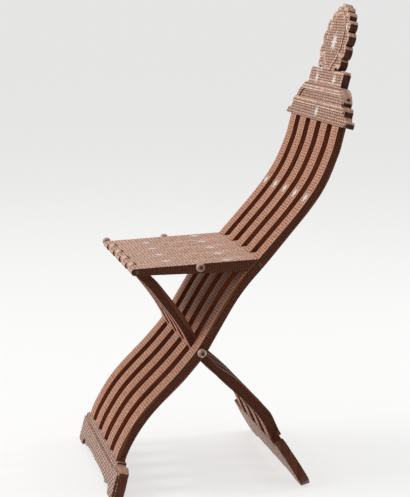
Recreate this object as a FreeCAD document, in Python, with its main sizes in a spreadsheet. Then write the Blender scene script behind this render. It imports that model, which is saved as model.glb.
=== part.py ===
import FreeCAD, Part
import math
import os
import Sketcher

# A folding armless chair of the savonarola kind. Five long back slats run from the crest board
# down to the front foot. Four leg slats run from the front edge of the seat down to the rear
# foot and cross the back slats in the gaps between them, on one rod. The seat is nine slats in
# two sets that interleave on a middle rod: the front set hangs on the rod in the tops of the
# leg slats, the rear set on a rod hidden in the back slats.
# X runs across the chair, the sitter faces -Y and Z is up from the floor. Lengths are in mm.

SIZES = [
    ("lane_pitch", 83.75, "from the middle of one back slat to the next"),
    ("slat_width", 45.0, "width of a back slat and of a front seat slat"),
    ("side_clearance", 0.4, "between neighbouring slats that pass each other"),
    ("slat_depth", 20.0, "back slat at the crossing, front face to rear face"),
    ("leg_end_depth", 24.0, "leg slat where it meets the rear foot"),
    ("leg_end_setback", 1.2, "front of the leg slats behind the front of the rear foot"),
    ("leg_top_depth", 16.5, "leg slat at its rounded top"),
    ("back_height", 723.5, "floor to the underside of the crest board"),
    ("back_sweep", 448.0, "how far the back slats travel from front to rear"),
    ("rod_diameter", 7.0, "all four rods"),
    ("pivot_clearance", 0.1, "around a rod in the slats that turn on it"),
    ("seat_span", 248.5, "front rod to rear rod, level distance"),
    ("seat_drop", 7.0, "front rod below the rear rod"),
    ("mid_rod_rise", 4.5, "middle rod above the line between its neighbours"),
    ("seat_cover_front", 6.75, "seat top above the front rod"),
    ("seat_cover_rear", 12.1, "seat top above the rear rod"),
    ("seat_under_front", 7.3, "seat underside below the front rod"),
    ("seat_under_rear", 12.3, "seat underside below the rear rod"),
    ("seat_nose", 11.6, "front edge of the seat ahead of the front rod"),
    ("seat_tail", 14.5, "rear seat slats behind the rear rod"),
    ("seat_end_gap", 0.65, "between a seat slat's end and the slat that it stops at"),
    ("saddle_run", 37.0, "length of the open saddle ahead of the rear rod"),
    ("saddle_clearance", 0.4, "between the saddle and the rear rod at rest"),
    ("blind_wall", 6.0, "wood left outside the end of the rear rod"),
    ("foot_height", 65.5, "front foot board along its slope"),
    ("foot_overhang", 55.0, "front foot beyond the outer back slats"),
    ("foot_thickness", 18.5, "front foot board without its raised front"),
    ("foot_relief", 4.5, "raised front of the front foot"),
    ("foot_setback", 3.0, "front foot board behind the line of the slats"),
    ("rear_foot_height", 95.0, "rear foot board along its slope, between the slats"),
    ("rear_foot_overhang", 43.0, "rear foot beyond the outer back slats"),
    ("rear_foot_thickness", 20.0, "rear foot board"),
    ("rear_foot_reach", 93.6, "rear foot on the floor, behind the front of the back at the seat"),
    ("rail_overhang", 41.0, "crest rail beyond the outer back slats"),
    ("rail_height", 76.0, "crest rail along its slope"),
    ("rail_thickness", 18.0, "crest rail board"),
    ("rail_relief", 2.5, "how far the frame of the rail stands out of it"),
    ("crest_setback", 2.0, "crest behind the line of the slats"),
    ("finial_height", 172.0, "crest finial along its slope"),
    ("finial_half_width", 94.0, "middle of the finial to the tips of its widest lobes"),
    ("block_half_width", 125.0, "half the width of the finial's shouldered base"),
    ("finial_thickness", 16.0, "finial board"),
    ("field_relief", 1.5, "raised oval field on the finial"),
    ("tenon_length", 14.0, "tenons at the ends of the slats"),
    ("tenon_width", 33.0, "tenons of the back slats"),
    ("leg_tenon_width", 26.0, "tenons of the leg slats"),
    ("tenon_thickness", 7.0, "all tenons"),
    ("tenon_clearance", 0.1, "between a tenon and its mortise"),
    ("knob_diameter", 18.0, "turned knobs on the rods"),
    ("knob_length", 22.0, "turned knobs, slat face to rounded end"),
    ("knob_collar_diameter", 11.5, "narrow collar next to the slat"),
    ("rivet_inset", 1.0, "rod end below the end of its knob"),
    ("pull_neck", 22.0, "extra neck of the knob that draws the front rod"),
    ("star_diameter", 20.0, "pearl stars on the slats and the crest"),
    ("small_star_diameter", 12.0, "pearl stars at the top of the finial"),
    ("star_thickness", 1.0, "pearl inlay"),
    ("overrun", 5.0, "how far cutting tools run past the wood"),
]

# Angles in degrees, from upright. Each board leans with its top towards the back, but the rear
# foot leans with its top towards the front.
FOOT_LEAN = 14.7
CREST_LEAN = 14.6
REAR_FOOT_LEAN = 30.5
STAR_POINTS = 8
STAR_WAIST_SHARE = 0.62
BACK_LANES = (-2, -1, 0, 1, 2)
LEG_LANES = (-1.5, -0.5, 0.5, 1.5)

doc = FreeCAD.newDocument("savonarola_chair")
sheet = doc.addObject("Spreadsheet::Sheet", "sizes")
for row, (alias, value, note) in enumerate(SIZES, start=1):
    sheet.set("A%d" % row, alias)
    sheet.set("B%d" % row, str(value))
    sheet.set("C%d" % row, note)
    sheet.setAlias("B%d" % row, alias)
doc.recompute()
size = {alias: float(sheet.get(alias)) for alias, value, note in SIZES}


def vec(across, deep=0.0, high=0.0):
    return FreeCAD.Vector(across, deep, high)


def polar(length, degrees):
    """A step of this length in the Y-Z plane, the angle measured from +Y towards +Z."""
    angle = math.radians(degrees)
    return vec(0, length * math.cos(angle), length * math.sin(angle))


# Widths that follow from the lanes.
lane_pitch = size["lane_pitch"]
slat_width = size["slat_width"]
group_half = 2 * lane_pitch + slat_width / 2
rod_radius = size["rod_diameter"] / 2

# The back slats' centre line. Each point gives its place as shares of the sweep, from the
# middle line of the seat's back edge, and of the back's height, and the slat's depth there as
# a share of its depth at the crossing.
BACK_LINE_SHARES = [
    (-0.5911, 0.1473, 0.925),
    (-0.5339, 0.2022, 0.950),
    (-0.4567, 0.2564, 0.950),
    (-0.3692, 0.3099, 1.000),
    (-0.2937, 0.3628, 1.000),
    (-0.2627, 0.3870, 1.000),
    (-0.2315, 0.4188, 0.985),
    (-0.1792, 0.4741, 0.965),
    (-0.1263, 0.5283, 0.950),
    (-0.0609, 0.5827, 0.950),
    (0.0000, 0.6247, 0.950),
    (0.0948, 0.6916, 0.890),
    (0.1883, 0.7595, 0.850),
    (0.2547, 0.8141, 0.850),
    (0.3045, 0.8686, 0.815),
    (0.3408, 0.9236, 0.785),
]
FOOT_DEPTH_SHARE = 0.950
CREST_DEPTH_SHARE = 0.775
CROSSING_SHARES = (-0.2672, 0.3870)
REAR_ROD_SHARES = (0.0033, 0.6247)
CREST_END_SHARE = 0.3750


def on_back(shares):
    return vec(0, shares[0] * size["back_sweep"], shares[1] * size["back_height"])


crossing = on_back(CROSSING_SHARES)
rear_rod_place = on_back(REAR_ROD_SHARES)
crest_foot = vec(0, CREST_END_SHARE * size["back_sweep"], size["back_height"])
foot_line = polar(1, 90 - FOOT_LEAN)
crest_line = polar(1, 90 - CREST_LEAN)
leg_line = polar(1, 90 + REAR_FOOT_LEAN)

# The front foot stands on the floor below the first point of the back line.
FOOT_TOP_SHARE = -0.6328
foot_top = vec(0, FOOT_TOP_SHARE * size["back_sweep"], size["foot_height"] * foot_line.z)
foot_floor = foot_top - foot_line * size["foot_height"]
rear_floor = vec(0, size["rear_foot_reach"])
leg_end = rear_floor + leg_line * size["rear_foot_height"]
leg_proud = (size["leg_end_depth"] - size["rear_foot_thickness"]) / 2 + size["leg_end_setback"]
leg_end += polar(leg_proud, REAR_FOOT_LEAN)

# Seat rods.
front_rod_place = rear_rod_place - vec(0, size["seat_span"], size["seat_drop"])
mid_chord = (front_rod_place + rear_rod_place) * 0.5
mid_rod_place = mid_chord + vec(0, 0, size["mid_rod_rise"])


def bspline(points, first_tangent=None, last_tangent=None):
    curve = Part.BSplineCurve()
    if first_tangent is None:
        curve.interpolate(Points=points)
    else:
        curve.interpolate(Points=points, InitialTangent=first_tangent, FinalTangent=last_tangent)
    return curve


def tangent_at(curve, point):
    return curve.tangent(curve.parameter(point))[0]


back_points = [foot_top] + [on_back(shares) for shares in BACK_LINE_SHARES] + [crest_foot]
back_depths = [FOOT_DEPTH_SHARE] + [shares[2] for shares in BACK_LINE_SHARES] + [CREST_DEPTH_SHARE]
back_curve = bspline(back_points, foot_line, crest_line)

# The leg slats' centre line: two bowed stretches, above and below the crossing. Each point is a
# share of the straight run and a share of its length to the rear side, with the slat's depth
# there as a share of its depth at the rear foot.
UPPER_LEG_SHARES = [
    (0.060, 0.0130, 0.708),
    (0.130, 0.0295, 0.825),
    (0.200, 0.0434, 0.862),
    (0.380, 0.0514, 0.862),
    (0.560, 0.0514, 0.857),
    (0.720, 0.0440, 0.855),
    (0.870, 0.0215, 0.830),
    (1.000, -0.0072, 0.750),
]
LOWER_LEG_SHARES = [
    (0.086, -0.0154, 0.708),
    (0.173, -0.0128, 0.675),
    (0.269, -0.0013, 0.675),
    (0.345, 0.0109, 0.812),
    (0.385, 0.0182, 0.890),
    (0.534, 0.0395, 0.942),
    (0.692, 0.0508, 0.962),
    (0.857, 0.0390, 0.983),
]


def bowed(start, end, shares):
    run = end - start
    side = vec(0, -run.z, run.y)
    if side.z < 0:
        side = side * -1
    return [start + run * along + side * bow for along, bow, depth in shares]


leg_points = [front_rod_place]
leg_points += bowed(front_rod_place, crossing, UPPER_LEG_SHARES)
leg_points += bowed(crossing, leg_end, LOWER_LEG_SHARES)
leg_points += [leg_end]
leg_start = (leg_points[1] - leg_points[0]).normalize()
leg_curve = bspline(leg_points, leg_start, leg_line * -1)
leg_halves = [shares[2] * size["leg_end_depth"] / 2 for shares in UPPER_LEG_SHARES + LOWER_LEG_SHARES]
leg_halves = [size["leg_top_depth"] / 2] + leg_halves + [size["leg_end_depth"] / 2]

# The model's origin is on the floor, below the middle of the chair's box.
foot_forward = size["foot_relief"] + size["foot_thickness"] / 2 - size["foot_setback"]
foot_front = foot_floor.y - foot_forward / foot_line.z
crest_height = size["rail_height"] + size["finial_height"]
crest_back = crest_foot + crest_line * crest_height
crest_back += polar(size["crest_setback"] + size["finial_thickness"] / 2, -CREST_LEAN)
shift = -(foot_front + crest_back.y) / 2


def edge_points(curve, points, half_depths):
    """Points beside the curve: the first list on the front side, the second on the rear side."""
    front = []
    rear = []
    for point, half in zip(points, half_depths):
        along = tangent_at(curve, point)
        if along.z < 0:
            along = along * -1
        normal = vec(0, along.z, -along.y)
        front.append(point - normal * half)
        rear.append(point + normal * half)
    return front, rear


def flat(point):
    """A point of the Y-Z plane in a sketch's own coordinates."""
    return vec(point.y, point.z)


def plane_of(body, role):
    return [feature for feature in body.Origin.OriginFeatures if feature.Role == role][0]


def new_body(name):
    body = doc.addObject("PartDesign::Body", name)
    body.Label = name
    return body


def new_sketch(body, name, role, offset=None):
    sketch = body.newObject("Sketcher::SketchObject", name)
    sketch.AttachmentSupport = [(plane_of(body, role), "")]
    sketch.MapMode = "FlatFace"
    if offset is not None:
        sketch.AttachmentOffset = offset
    return sketch


STRAIGHT_ENOUGH = 0.0001


def arc_between(start, along, end):
    """The arc that leaves the start in this direction and reaches the end."""
    chord = end - start
    turn = math.atan2(chord.x * along.y - chord.y * along.x, chord.dot(along))
    bulge = math.tan(turn / 2)
    if abs(bulge) < STRAIGHT_ENOUGH:
        return Part.LineSegment(start, end)
    left = vec(-chord.y, chord.x)
    return Part.Arc(start, (start + end + left * bulge) * 0.5, end)


def flowing_edge(sketch, curve, places):
    """Follow a curve by arcs that meet smoothly, two between each pair of its points."""
    points = [flat(place) for place in places]
    alongs = [flat(tangent_at(curve, place)) for place in places]
    for start, leave, end, arrive in zip(points, alongs, points[1:], alongs[1:]):
        run = end - start
        reach = run.dot(leave + arrive)
        bend = 2 * (1 - leave.dot(arrive))
        if bend < STRAIGHT_ENOUGH ** 2:
            arm = run.dot(run) / (2 * reach)
        else:
            arm = (math.sqrt(reach * reach + bend * run.dot(run)) - reach) / bend
        joint = (start + end + (leave - arrive) * arm) * 0.5
        sketch.addGeometry(arc_between(start, leave, joint))
        sketch.addGeometry(arc_between(end, arrive * -1, joint))


def polygon(sketch, corners):
    for first, second in zip(corners, corners[1:] + corners[:1]):
        sketch.addGeometry(Part.LineSegment(first, second))


def both_ways(feature, sketch, length_expression):
    """Grow or cut from the sketch's plane by half the length to each side."""
    feature.Profile = sketch
    feature.Midplane = True
    feature.setExpression("Length", length_expression)


def pad(body, name, sketch, length_expression):
    feature = body.newObject("PartDesign::Pad", name)
    both_ways(feature, sketch, length_expression)
    return feature


def pocket(body, name, sketch, length_expression):
    feature = body.newObject("PartDesign::Pocket", name)
    both_ways(feature, sketch, length_expression)
    return feature


def bore_sketch(body, name, place, radius_expression, offset=None):
    """A circle on the slat's middle plane, its radius bound to the sheet."""
    sketch = new_sketch(body, name, "YZ_Plane", offset)
    circle = sketch.addGeometry(Part.Circle(flat(place), vec(0, 0, 1), rod_radius))
    rule = sketch.addConstraint(Sketcher.Constraint("Radius", circle, rod_radius))
    sketch.renameConstraint(rule, "bore_radius")
    sketch.setExpression("Constraints.bore_radius", radius_expression)
    return sketch


TIGHT_BORE = "sizes.rod_diameter / 2"
RUNNING_BORE = "sizes.rod_diameter / 2 + sizes.pivot_clearance"


def star_corners(diameter):
    """An eight-pointed star, points and inner corners by turns."""
    corners = []
    for number in range(2 * STAR_POINTS):
        reach = diameter / 2 * (1 if number % 2 == 0 else STAR_WAIST_SHARE)
        angle = math.pi * number / STAR_POINTS
        corners.append(vec(reach * math.cos(angle), reach * math.sin(angle)))
    return corners


def sunk_star(body, name, point, slope, diameter):
    """Sink a star into a face that rises towards the rear at this slope, with its centre here."""
    turn = FreeCAD.Rotation(vec(1), slope)
    above = point + turn.multVec(vec(0, 0, size["star_thickness"]))
    sketch = new_sketch(body, name + "_outline", "XY_Plane", FreeCAD.Placement(above, turn))
    polygon(sketch, star_corners(diameter))
    feature = body.newObject("PartDesign::Pocket", name)
    feature.Profile = sketch
    feature.setExpression("Length", "2 * sizes.star_thickness")
    return feature


def star_solid(point, slope, diameter):
    corners = star_corners(diameter)
    face = Part.Face(Part.makePolygon(corners + corners[:1]))
    solid = face.extrude(vec(0, 0, -size["star_thickness"]))
    solid.Placement = FreeCAD.Placement(point, FreeCAD.Rotation(vec(1), slope))
    return solid


TENON_ROOT_SHARE = 0.5


def tenon(body, name, end, along, side_step, width_name):
    """A rectangle past the slat's end, in the middle of its width."""
    across = vec(0, along.z, -along.y)
    near = end + across * side_step - along * size["tenon_length"] * TENON_ROOT_SHARE
    far = end + across * side_step + along * size["tenon_length"]
    half = across * (size["tenon_thickness"] / 2)
    corners = [near - half, near + half, far + half, far - half]
    sketch = new_sketch(body, name + "_outline", "YZ_Plane")
    polygon(sketch, [flat(corner) for corner in corners])
    return pad(body, name, sketch, "sizes." + width_name)


def put_in_lane(body, lane):
    body.Placement = FreeCAD.Placement(vec(0, shift), FreeCAD.Rotation())
    body.setExpression("Placement.Base.x", "sizes.lane_pitch * %s" % lane)


parts = []
inlays = {"back_inlays": [], "seat_front_inlays": [], "seat_rear_inlays": []}

# The back slats, each cut from one plank to a flowing S.
BACK_STAR_SHARE = 0.804
back_halves = [share * size["slat_depth"] / 2 for share in back_depths]
back_front, back_rear = edge_points(back_curve, back_points, back_halves)
back_front_curve = bspline(back_front, foot_line, crest_line)
back_rear_curve = bspline(back_rear, foot_line, crest_line)
crest_tenon_step = size["crest_setback"] / 2
foot_tenon_step = size["foot_setback"] / 2


def back_face(high):
    """The point of the back slats' front edge at this height, and the edge's direction there."""
    level = Part.LineSegment(vec(0, -size["back_sweep"], high), vec(0, size["back_sweep"], high))
    point = back_front_curve.toShape().distToShape(level.toShape())[1][0][0]
    return point, tangent_at(back_front_curve, point)


back_star, star_along = back_face(BACK_STAR_SHARE * size["back_height"])
back_star_slope = math.degrees(math.atan2(star_along.z, star_along.y))

for number, lane in enumerate(BACK_LANES, start=1):
    slat = new_body("back_slat_%d" % number)
    outline = new_sketch(slat, "back_outline_%d" % number, "YZ_Plane")
    flowing_edge(outline, back_front_curve, back_front)
    outline.addGeometry(Part.LineSegment(flat(back_front[-1]), flat(back_rear[-1])))
    flowing_edge(outline, back_rear_curve, back_rear)
    outline.addGeometry(Part.LineSegment(flat(back_rear[0]), flat(back_front[0])))
    pad(slat, "back_plank_%d" % number, outline, "sizes.slat_width")
    tenon(slat, "crest_tenon_%d" % number, crest_foot, crest_line, crest_tenon_step, "tenon_width")
    tenon(slat, "foot_tenon_%d" % number, foot_top, foot_line * -1, -foot_tenon_step, "tenon_width")
    crossing_bore = bore_sketch(slat, "crossing_circle_%d" % number, crossing, TIGHT_BORE)
    pocket(slat, "crossing_bore_%d" % number, crossing_bore, "sizes.slat_width * 2")
    outer = abs(lane) == max(BACK_LANES)
    if outer:
        side = 1 if lane > 0 else -1
        depth = side * (slat_width / 2 - size["blind_wall"])
        offset = FreeCAD.Placement(vec(0, 0, depth), FreeCAD.Rotation())
        circle = bore_sketch(slat, "rear_rod_circle_%d" % number, rear_rod_place, TIGHT_BORE, offset)
        blind = slat.newObject("PartDesign::Pocket", "rear_rod_bore_%d" % number)
        blind.Profile = circle
        blind.Reversed = lane < 0
        blind.setExpression("Length", "sizes.slat_width")
    else:
        circle = bore_sketch(slat, "rear_rod_circle_%d" % number, rear_rod_place, TIGHT_BORE)
        pocket(slat, "rear_rod_bore_%d" % number, circle, "sizes.slat_width * 2")
    sunk_star(slat, "back_star_%d" % number, back_star, back_star_slope, size["star_diameter"])
    put_in_lane(slat, lane)
    inlays["back_inlays"].append(
        star_solid(back_star + vec(lane * lane_pitch), back_star_slope, size["star_diameter"])
    )
    parts.append(slat)

# The leg slats fill the gaps between the back slats and end in a rounded eye on the front rod.
leg_front, leg_rear = edge_points(leg_curve, leg_points, leg_halves)
leg_front_curve = bspline(leg_front, leg_start, leg_line * -1)
leg_rear_curve = bspline(leg_rear, leg_start, leg_line * -1)
top_along = tangent_at(leg_curve, front_rod_place) * -1
leg_tip = front_rod_place + top_along * (size["leg_top_depth"] / 2)

for number, lane in enumerate(LEG_LANES, start=1):
    slat = new_body("leg_slat_%d" % number)
    outline = new_sketch(slat, "leg_outline_%d" % number, "YZ_Plane")
    flowing_edge(outline, leg_front_curve, leg_front)
    outline.addGeometry(Part.LineSegment(flat(leg_front[-1]), flat(leg_rear[-1])))
    flowing_edge(outline, leg_rear_curve, leg_rear)
    outline.addGeometry(Part.Arc(flat(leg_rear[0]), flat(leg_tip), flat(leg_front[0])))
    plank = slat.newObject("PartDesign::Pad", "leg_plank_%d" % number)
    both_ways(plank, outline, "sizes.lane_pitch - sizes.slat_width - 2 * sizes.side_clearance")
    tenon(slat, "leg_tenon_%d" % number, leg_end, leg_line * -1, leg_proud, "leg_tenon_width")
    for name, place, radius in (
        ("leg_crossing", crossing, RUNNING_BORE),
        ("front_rod", front_rod_place, TIGHT_BORE),
    ):
        circle = bore_sketch(slat, "%s_circle_%d" % (name, number), place, radius)
        pocket(slat, "%s_bore_%d" % (name, number), circle, "sizes.slat_width * 2")
    put_in_lane(slat, lane)
    parts.append(slat)

# The seat's top and underside are two lines that spread towards the rear.
top_front = front_rod_place + vec(0, 0, size["seat_cover_front"])
top_rear = rear_rod_place + vec(0, 0, size["seat_cover_rear"])
under_front = front_rod_place - vec(0, 0, size["seat_under_front"])
under_rear = rear_rod_place - vec(0, 0, size["seat_under_rear"])


def on_line(first, second, deep):
    """The point of the line through two points that lies at this Y."""
    share = (deep - first.y) / (second.y - first.y)
    return first + (second - first) * share


def meet(first, second, through, direction):
    """Where the line through two points meets another line, given by a point and a direction."""
    run = second - first
    gap = through - first
    cross = run.y * direction.z - run.z * direction.y
    share = (gap.y * direction.z - gap.z * direction.y) / cross
    return first + run * share


seat_slope = math.degrees(math.atan2(top_rear.z - top_front.z, top_rear.y - top_front.y))
nose_y = front_rod_place.y - size["seat_nose"]
nose_half = (size["seat_cover_front"] + size["seat_under_front"]) / 2
nose_top = on_line(top_front, top_rear, nose_y + nose_half)
nose_under = on_line(under_front, under_rear, nose_y + nose_half)
nose_tip = vec(0, nose_y, (nose_top.z + nose_under.z) / 2)

back_edge, back_along = back_face(rear_rod_place.z)
back_normal = vec(0, back_along.z, -back_along.y)
rest_face = back_edge - back_normal * size["seat_end_gap"]
tail_top = meet(top_front, top_rear, rest_face, back_along)
tail_under = meet(under_front, under_rear, rest_face, back_along)

FRONT_STAR_SHARE = 0.747
REAR_STAR_SHARE = 0.284


def seat_star(share):
    return top_front + (top_rear - top_front) * share


for number, lane in enumerate(BACK_LANES, start=1):
    slat = new_body("seat_front_slat_%d" % number)
    outline = new_sketch(slat, "seat_front_outline_%d" % number, "YZ_Plane")
    outline.addGeometry(Part.LineSegment(flat(nose_top), flat(tail_top)))
    outline.addGeometry(Part.LineSegment(flat(tail_top), flat(tail_under)))
    outline.addGeometry(Part.LineSegment(flat(tail_under), flat(nose_under)))
    outline.addGeometry(Part.Arc(flat(nose_under), flat(nose_tip), flat(nose_top)))
    pad(slat, "seat_front_plank_%d" % number, outline, "sizes.slat_width")
    for name, place, radius in (
        ("seat_front_eye", front_rod_place, RUNNING_BORE),
        ("seat_front_mid", mid_rod_place, TIGHT_BORE),
    ):
        circle = bore_sketch(slat, "%s_circle_%d" % (name, number), place, radius)
        pocket(slat, "%s_bore_%d" % (name, number), circle, "sizes.slat_width * 2")
    star = seat_star(FRONT_STAR_SHARE)
    sunk_star(slat, "seat_front_star_%d" % number, star, seat_slope, size["star_diameter"])
    put_in_lane(slat, lane)
    inlays["seat_front_inlays"].append(
        star_solid(star + vec(lane * lane_pitch), seat_slope, size["star_diameter"])
    )
    parts.append(slat)

# The rear seat slats reach into the gaps of the back. Their undersides are open ahead of the
# rear rod, so that the slats swing up and over it.
leg_normal = vec(0, top_along.z, -top_along.y)
front_face = front_rod_place + leg_normal * (size["leg_top_depth"] / 2 + 3 * size["seat_end_gap"])
head_top = meet(top_front, top_rear, front_face, top_along)
head_under = meet(under_front, under_rear, front_face, top_along)
tail_y = rear_rod_place.y + size["seat_tail"]
saddle_half = rod_radius + size["saddle_clearance"]
saddle_roof = rear_rod_place.z + saddle_half
saddle_front_y = rear_rod_place.y - size["saddle_run"]
saddle_rear_y = rear_rod_place.y + saddle_half
rear_outline = [
    head_top,
    on_line(top_front, top_rear, tail_y),
    on_line(under_front, under_rear, tail_y),
    on_line(under_front, under_rear, saddle_rear_y),
    vec(0, saddle_rear_y, saddle_roof),
    vec(0, saddle_front_y, saddle_roof),
    on_line(under_front, under_rear, saddle_front_y),
    head_under,
]

for number, lane in enumerate(LEG_LANES, start=1):
    slat = new_body("seat_rear_slat_%d" % number)
    outline = new_sketch(slat, "seat_rear_outline_%d" % number, "YZ_Plane")
    polygon(outline, [flat(corner) for corner in rear_outline])
    plank = slat.newObject("PartDesign::Pad", "seat_rear_plank_%d" % number)
    both_ways(plank, outline, "sizes.lane_pitch - sizes.slat_width - 2 * sizes.side_clearance")
    circle = bore_sketch(slat, "seat_rear_circle_%d" % number, mid_rod_place, RUNNING_BORE)
    pocket(slat, "seat_rear_bore_%d" % number, circle, "sizes.slat_width * 2")
    star = seat_star(REAR_STAR_SHARE)
    sunk_star(slat, "seat_rear_star_%d" % number, star, seat_slope, size["star_diameter"])
    put_in_lane(slat, lane)
    inlays["seat_rear_inlays"].append(
        star_solid(star + vec(lane * lane_pitch), seat_slope, size["star_diameter"])
    )
    parts.append(slat)


# The sawn boards. An outline is the right half of the board, from the middle of its top round
# to the middle of its foot. A corner is a point; a curve is its middle point and its end point,
# marked "arc". Both are shares of the board's half width and height.
def half_outline(shares, half_width, height):
    """The right half as edges, and the left half as their mirror images."""
    right = []
    last = None
    for entry in shares:
        if entry[0] == "arc":
            middle = vec(entry[1][0] * half_width, entry[1][1] * height)
            end = vec(entry[2][0] * half_width, entry[2][1] * height)
            right.append((last, middle, end))
        else:
            end = vec(entry[0] * half_width, entry[1] * height)
            if last is not None:
                right.append((last, end))
        last = end
    left = [tuple(vec(-point.x, point.y) for point in reversed(edge)) for edge in reversed(right)]
    return right + left


def board_sketch(body, name, shares, half_width, height, offset=None):
    sketch = new_sketch(body, name, "XZ_Plane", offset)
    for edge in half_outline(shares, half_width, height):
        if len(edge) == 3:
            sketch.addGeometry(Part.Arc(edge[0], edge[1], edge[2]))
        else:
            sketch.addGeometry(Part.LineSegment(edge[0], edge[1]))
    return sketch


def mortises(body, name, lanes, mouth, depth_sign, width_name, step):
    """One row of slots for the slats' tenons, cut from the board's edge at this height."""
    offset = FreeCAD.Placement(vec(0, 0, -step), FreeCAD.Rotation())
    sketch = new_sketch(body, name + "_outline", "XZ_Plane", offset)
    half = size[width_name] / 2 + size["tenon_clearance"]
    floor = mouth + depth_sign * (size["tenon_length"] + size["tenon_clearance"])
    lip = mouth - depth_sign * size["overrun"]
    for lane in lanes:
        middle = lane * lane_pitch
        corners = [vec(middle - half, floor), vec(middle + half, floor)]
        corners += [vec(middle + half, lip), vec(middle - half, lip)]
        polygon(sketch, corners)
    return pocket(body, name, sketch, "sizes.tenon_thickness + 2 * sizes.tenon_clearance")


def floor_cut(body, name, lean):
    """Cut the board level where it stands on the floor."""
    sketch = new_sketch(body, name + "_outline", "YZ_Plane")
    reach = size["foot_height"]
    level = vec(math.cos(math.radians(lean)), math.sin(math.radians(lean)))
    down = vec(level.y, -level.x)
    corners = [level * -reach, level * reach, level * reach + down * reach, level * -reach + down * reach]
    polygon(sketch, corners)
    return pocket(body, name, sketch, "2 * (sizes.lane_pitch * 4 + sizes.slat_width + sizes.foot_overhang * 2)")


FRONT_FOOT_SHARES = [
    (0, 1),
    (0.805, 1),
    (0.805, 0.955),
    ("arc", (0.812, 0.915), (0.845, 0.905)),
    ("arc", (0.905, 0.955), (0.965, 0.885)),
    ("arc", (0.992, 0.820), (0.985, 0.740)),
    ("arc", (1, 0.450), (0.995, 0.120)),
    ("arc", (0.985, 0), (0.960, -0.080)),
    (0.765, -0.080),
    (0.765, 0.080),
    ("arc", (0.735, 0.170), (0.660, 0.150)),
    ("arc", (0.580, 0.100), (0.500, 0.160)),
    ("arc", (0.250, 0.200), (0, 0.185)),
]
FOOT_PANEL_SHARES = [
    (0, 0.700),
    (0.640, 0.700),
    ("arc", (0.735, 0.730), (0.800, 0.810)),
    ("arc", (0.880, 0.855), (0.950, 0.790)),
    ("arc", (0.975, 0.740), (0.980, 0.660)),
    (0.980, 0.120),
    ("arc", (0.972, 0.010), (0.950, -0.080)),
    (0.765, -0.080),
    (0.765, 0.080),
    ("arc", (0.735, 0.170), (0.660, 0.150)),
    ("arc", (0.580, 0.100), (0.500, 0.160)),
    ("arc", (0.250, 0.200), (0, 0.185)),
]

foot_half = group_half + size["foot_overhang"]
front_foot = new_body("front_foot")
outline = board_sketch(front_foot, "front_foot_outline", FRONT_FOOT_SHARES, foot_half, size["foot_height"])
outline.AttachmentOffset = FreeCAD.Placement(vec(0, 0, -size["foot_setback"]), FreeCAD.Rotation())
pad(front_foot, "front_foot_board", outline, "sizes.foot_thickness")
panel_offset = FreeCAD.Placement(
    vec(0, 0, size["foot_thickness"] / 2 - size["foot_setback"]), FreeCAD.Rotation()
)
panel = board_sketch(
    front_foot, "foot_panel_outline", FOOT_PANEL_SHARES, foot_half, size["foot_height"], panel_offset
)
raised = front_foot.newObject("PartDesign::Pad", "foot_panel")
raised.Profile = panel
raised.setExpression("Length", "sizes.foot_relief")
mortises(front_foot, "front_foot_mortises", BACK_LANES, size["foot_height"], -1, "tenon_width", foot_tenon_step)
floor_cut(front_foot, "front_foot_sole", FOOT_LEAN)
front_foot.Placement = FreeCAD.Placement(foot_floor + vec(0, shift), FreeCAD.Rotation(vec(1), -FOOT_LEAN))
parts.append(front_foot)

REAR_FOOT_SHARES = [
    (0, 1),
    (0.650, 1),
    ("arc", (0.665, 0.900), (0.700, 0.830)),
    ("arc", (0.800, 1.060), (0.900, 0.900)),
    ("arc", (0.905, 0.820), (0.935, 0.760)),
    ("arc", (0.985, 0.560), (1, 0.340)),
    ("arc", (0.995, 0.200), (0.960, 0.100)),
    ("arc", (0.910, 0.020), (0.850, -0.080)),
    (0.740, -0.080),
    (0.740, 0.085),
    ("arc", (0.560, 0.175), (0.370, 0.135)),
    ("arc", (0.185, 0.180), (0, 0.140)),
]

rear_foot_half = group_half + size["rear_foot_overhang"]
rear_foot = new_body("rear_foot")
outline = board_sketch(
    rear_foot, "rear_foot_outline", REAR_FOOT_SHARES, rear_foot_half, size["rear_foot_height"]
)
pad(rear_foot, "rear_foot_board", outline, "sizes.rear_foot_thickness")
mortises(rear_foot, "rear_foot_mortises", LEG_LANES, size["rear_foot_height"], -1, "leg_tenon_width", 0)
floor_cut(rear_foot, "rear_foot_sole", -REAR_FOOT_LEAN)
rear_foot.Placement = FreeCAD.Placement(
    rear_floor + vec(0, shift), FreeCAD.Rotation(vec(1), REAR_FOOT_LEAN)
)
parts.append(rear_foot)

# The crest's stars: shares of a half width and of the height of the whole crest.
RAIL_STAR_SHARE = 0.0705
BLOCK_STAR_SHARES = (0.520, 0.350)
FIELD_STAR_SHARE = 0.669
HIGH_STAR_SHARES = (0.620, 0.800)


def crest_star(body, name, across, high_share, front, diameter_name):
    """A star in the crest's front, which lies this far ahead of the line of the slats."""
    place = vec(across, -front, high_share * crest_height)
    sunk_star(body, name, place, 90, size[diameter_name])
    star = star_solid(place, 90, size[diameter_name])
    star.Placement = crest_line_place.multiply(star.Placement)
    inlays["back_inlays"].append(star)


CREST_RAIL_SHARES = [
    (0, 1),
    (0.548, 1),
    ("arc", (0.700, 0.850), (0.785, 0.630)),
    ("arc", (0.776, 0.570), (0.796, 0.500)),
    ("arc", (0.860, 0.480), (0.880, 0.390)),
    (0.880, 0.320),
    ("arc", (0.905, 0.210), (0.955, 0.180)),
    ("arc", (0.998, 0.100), (0.990, 0)),
    (0, 0),
]

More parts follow.
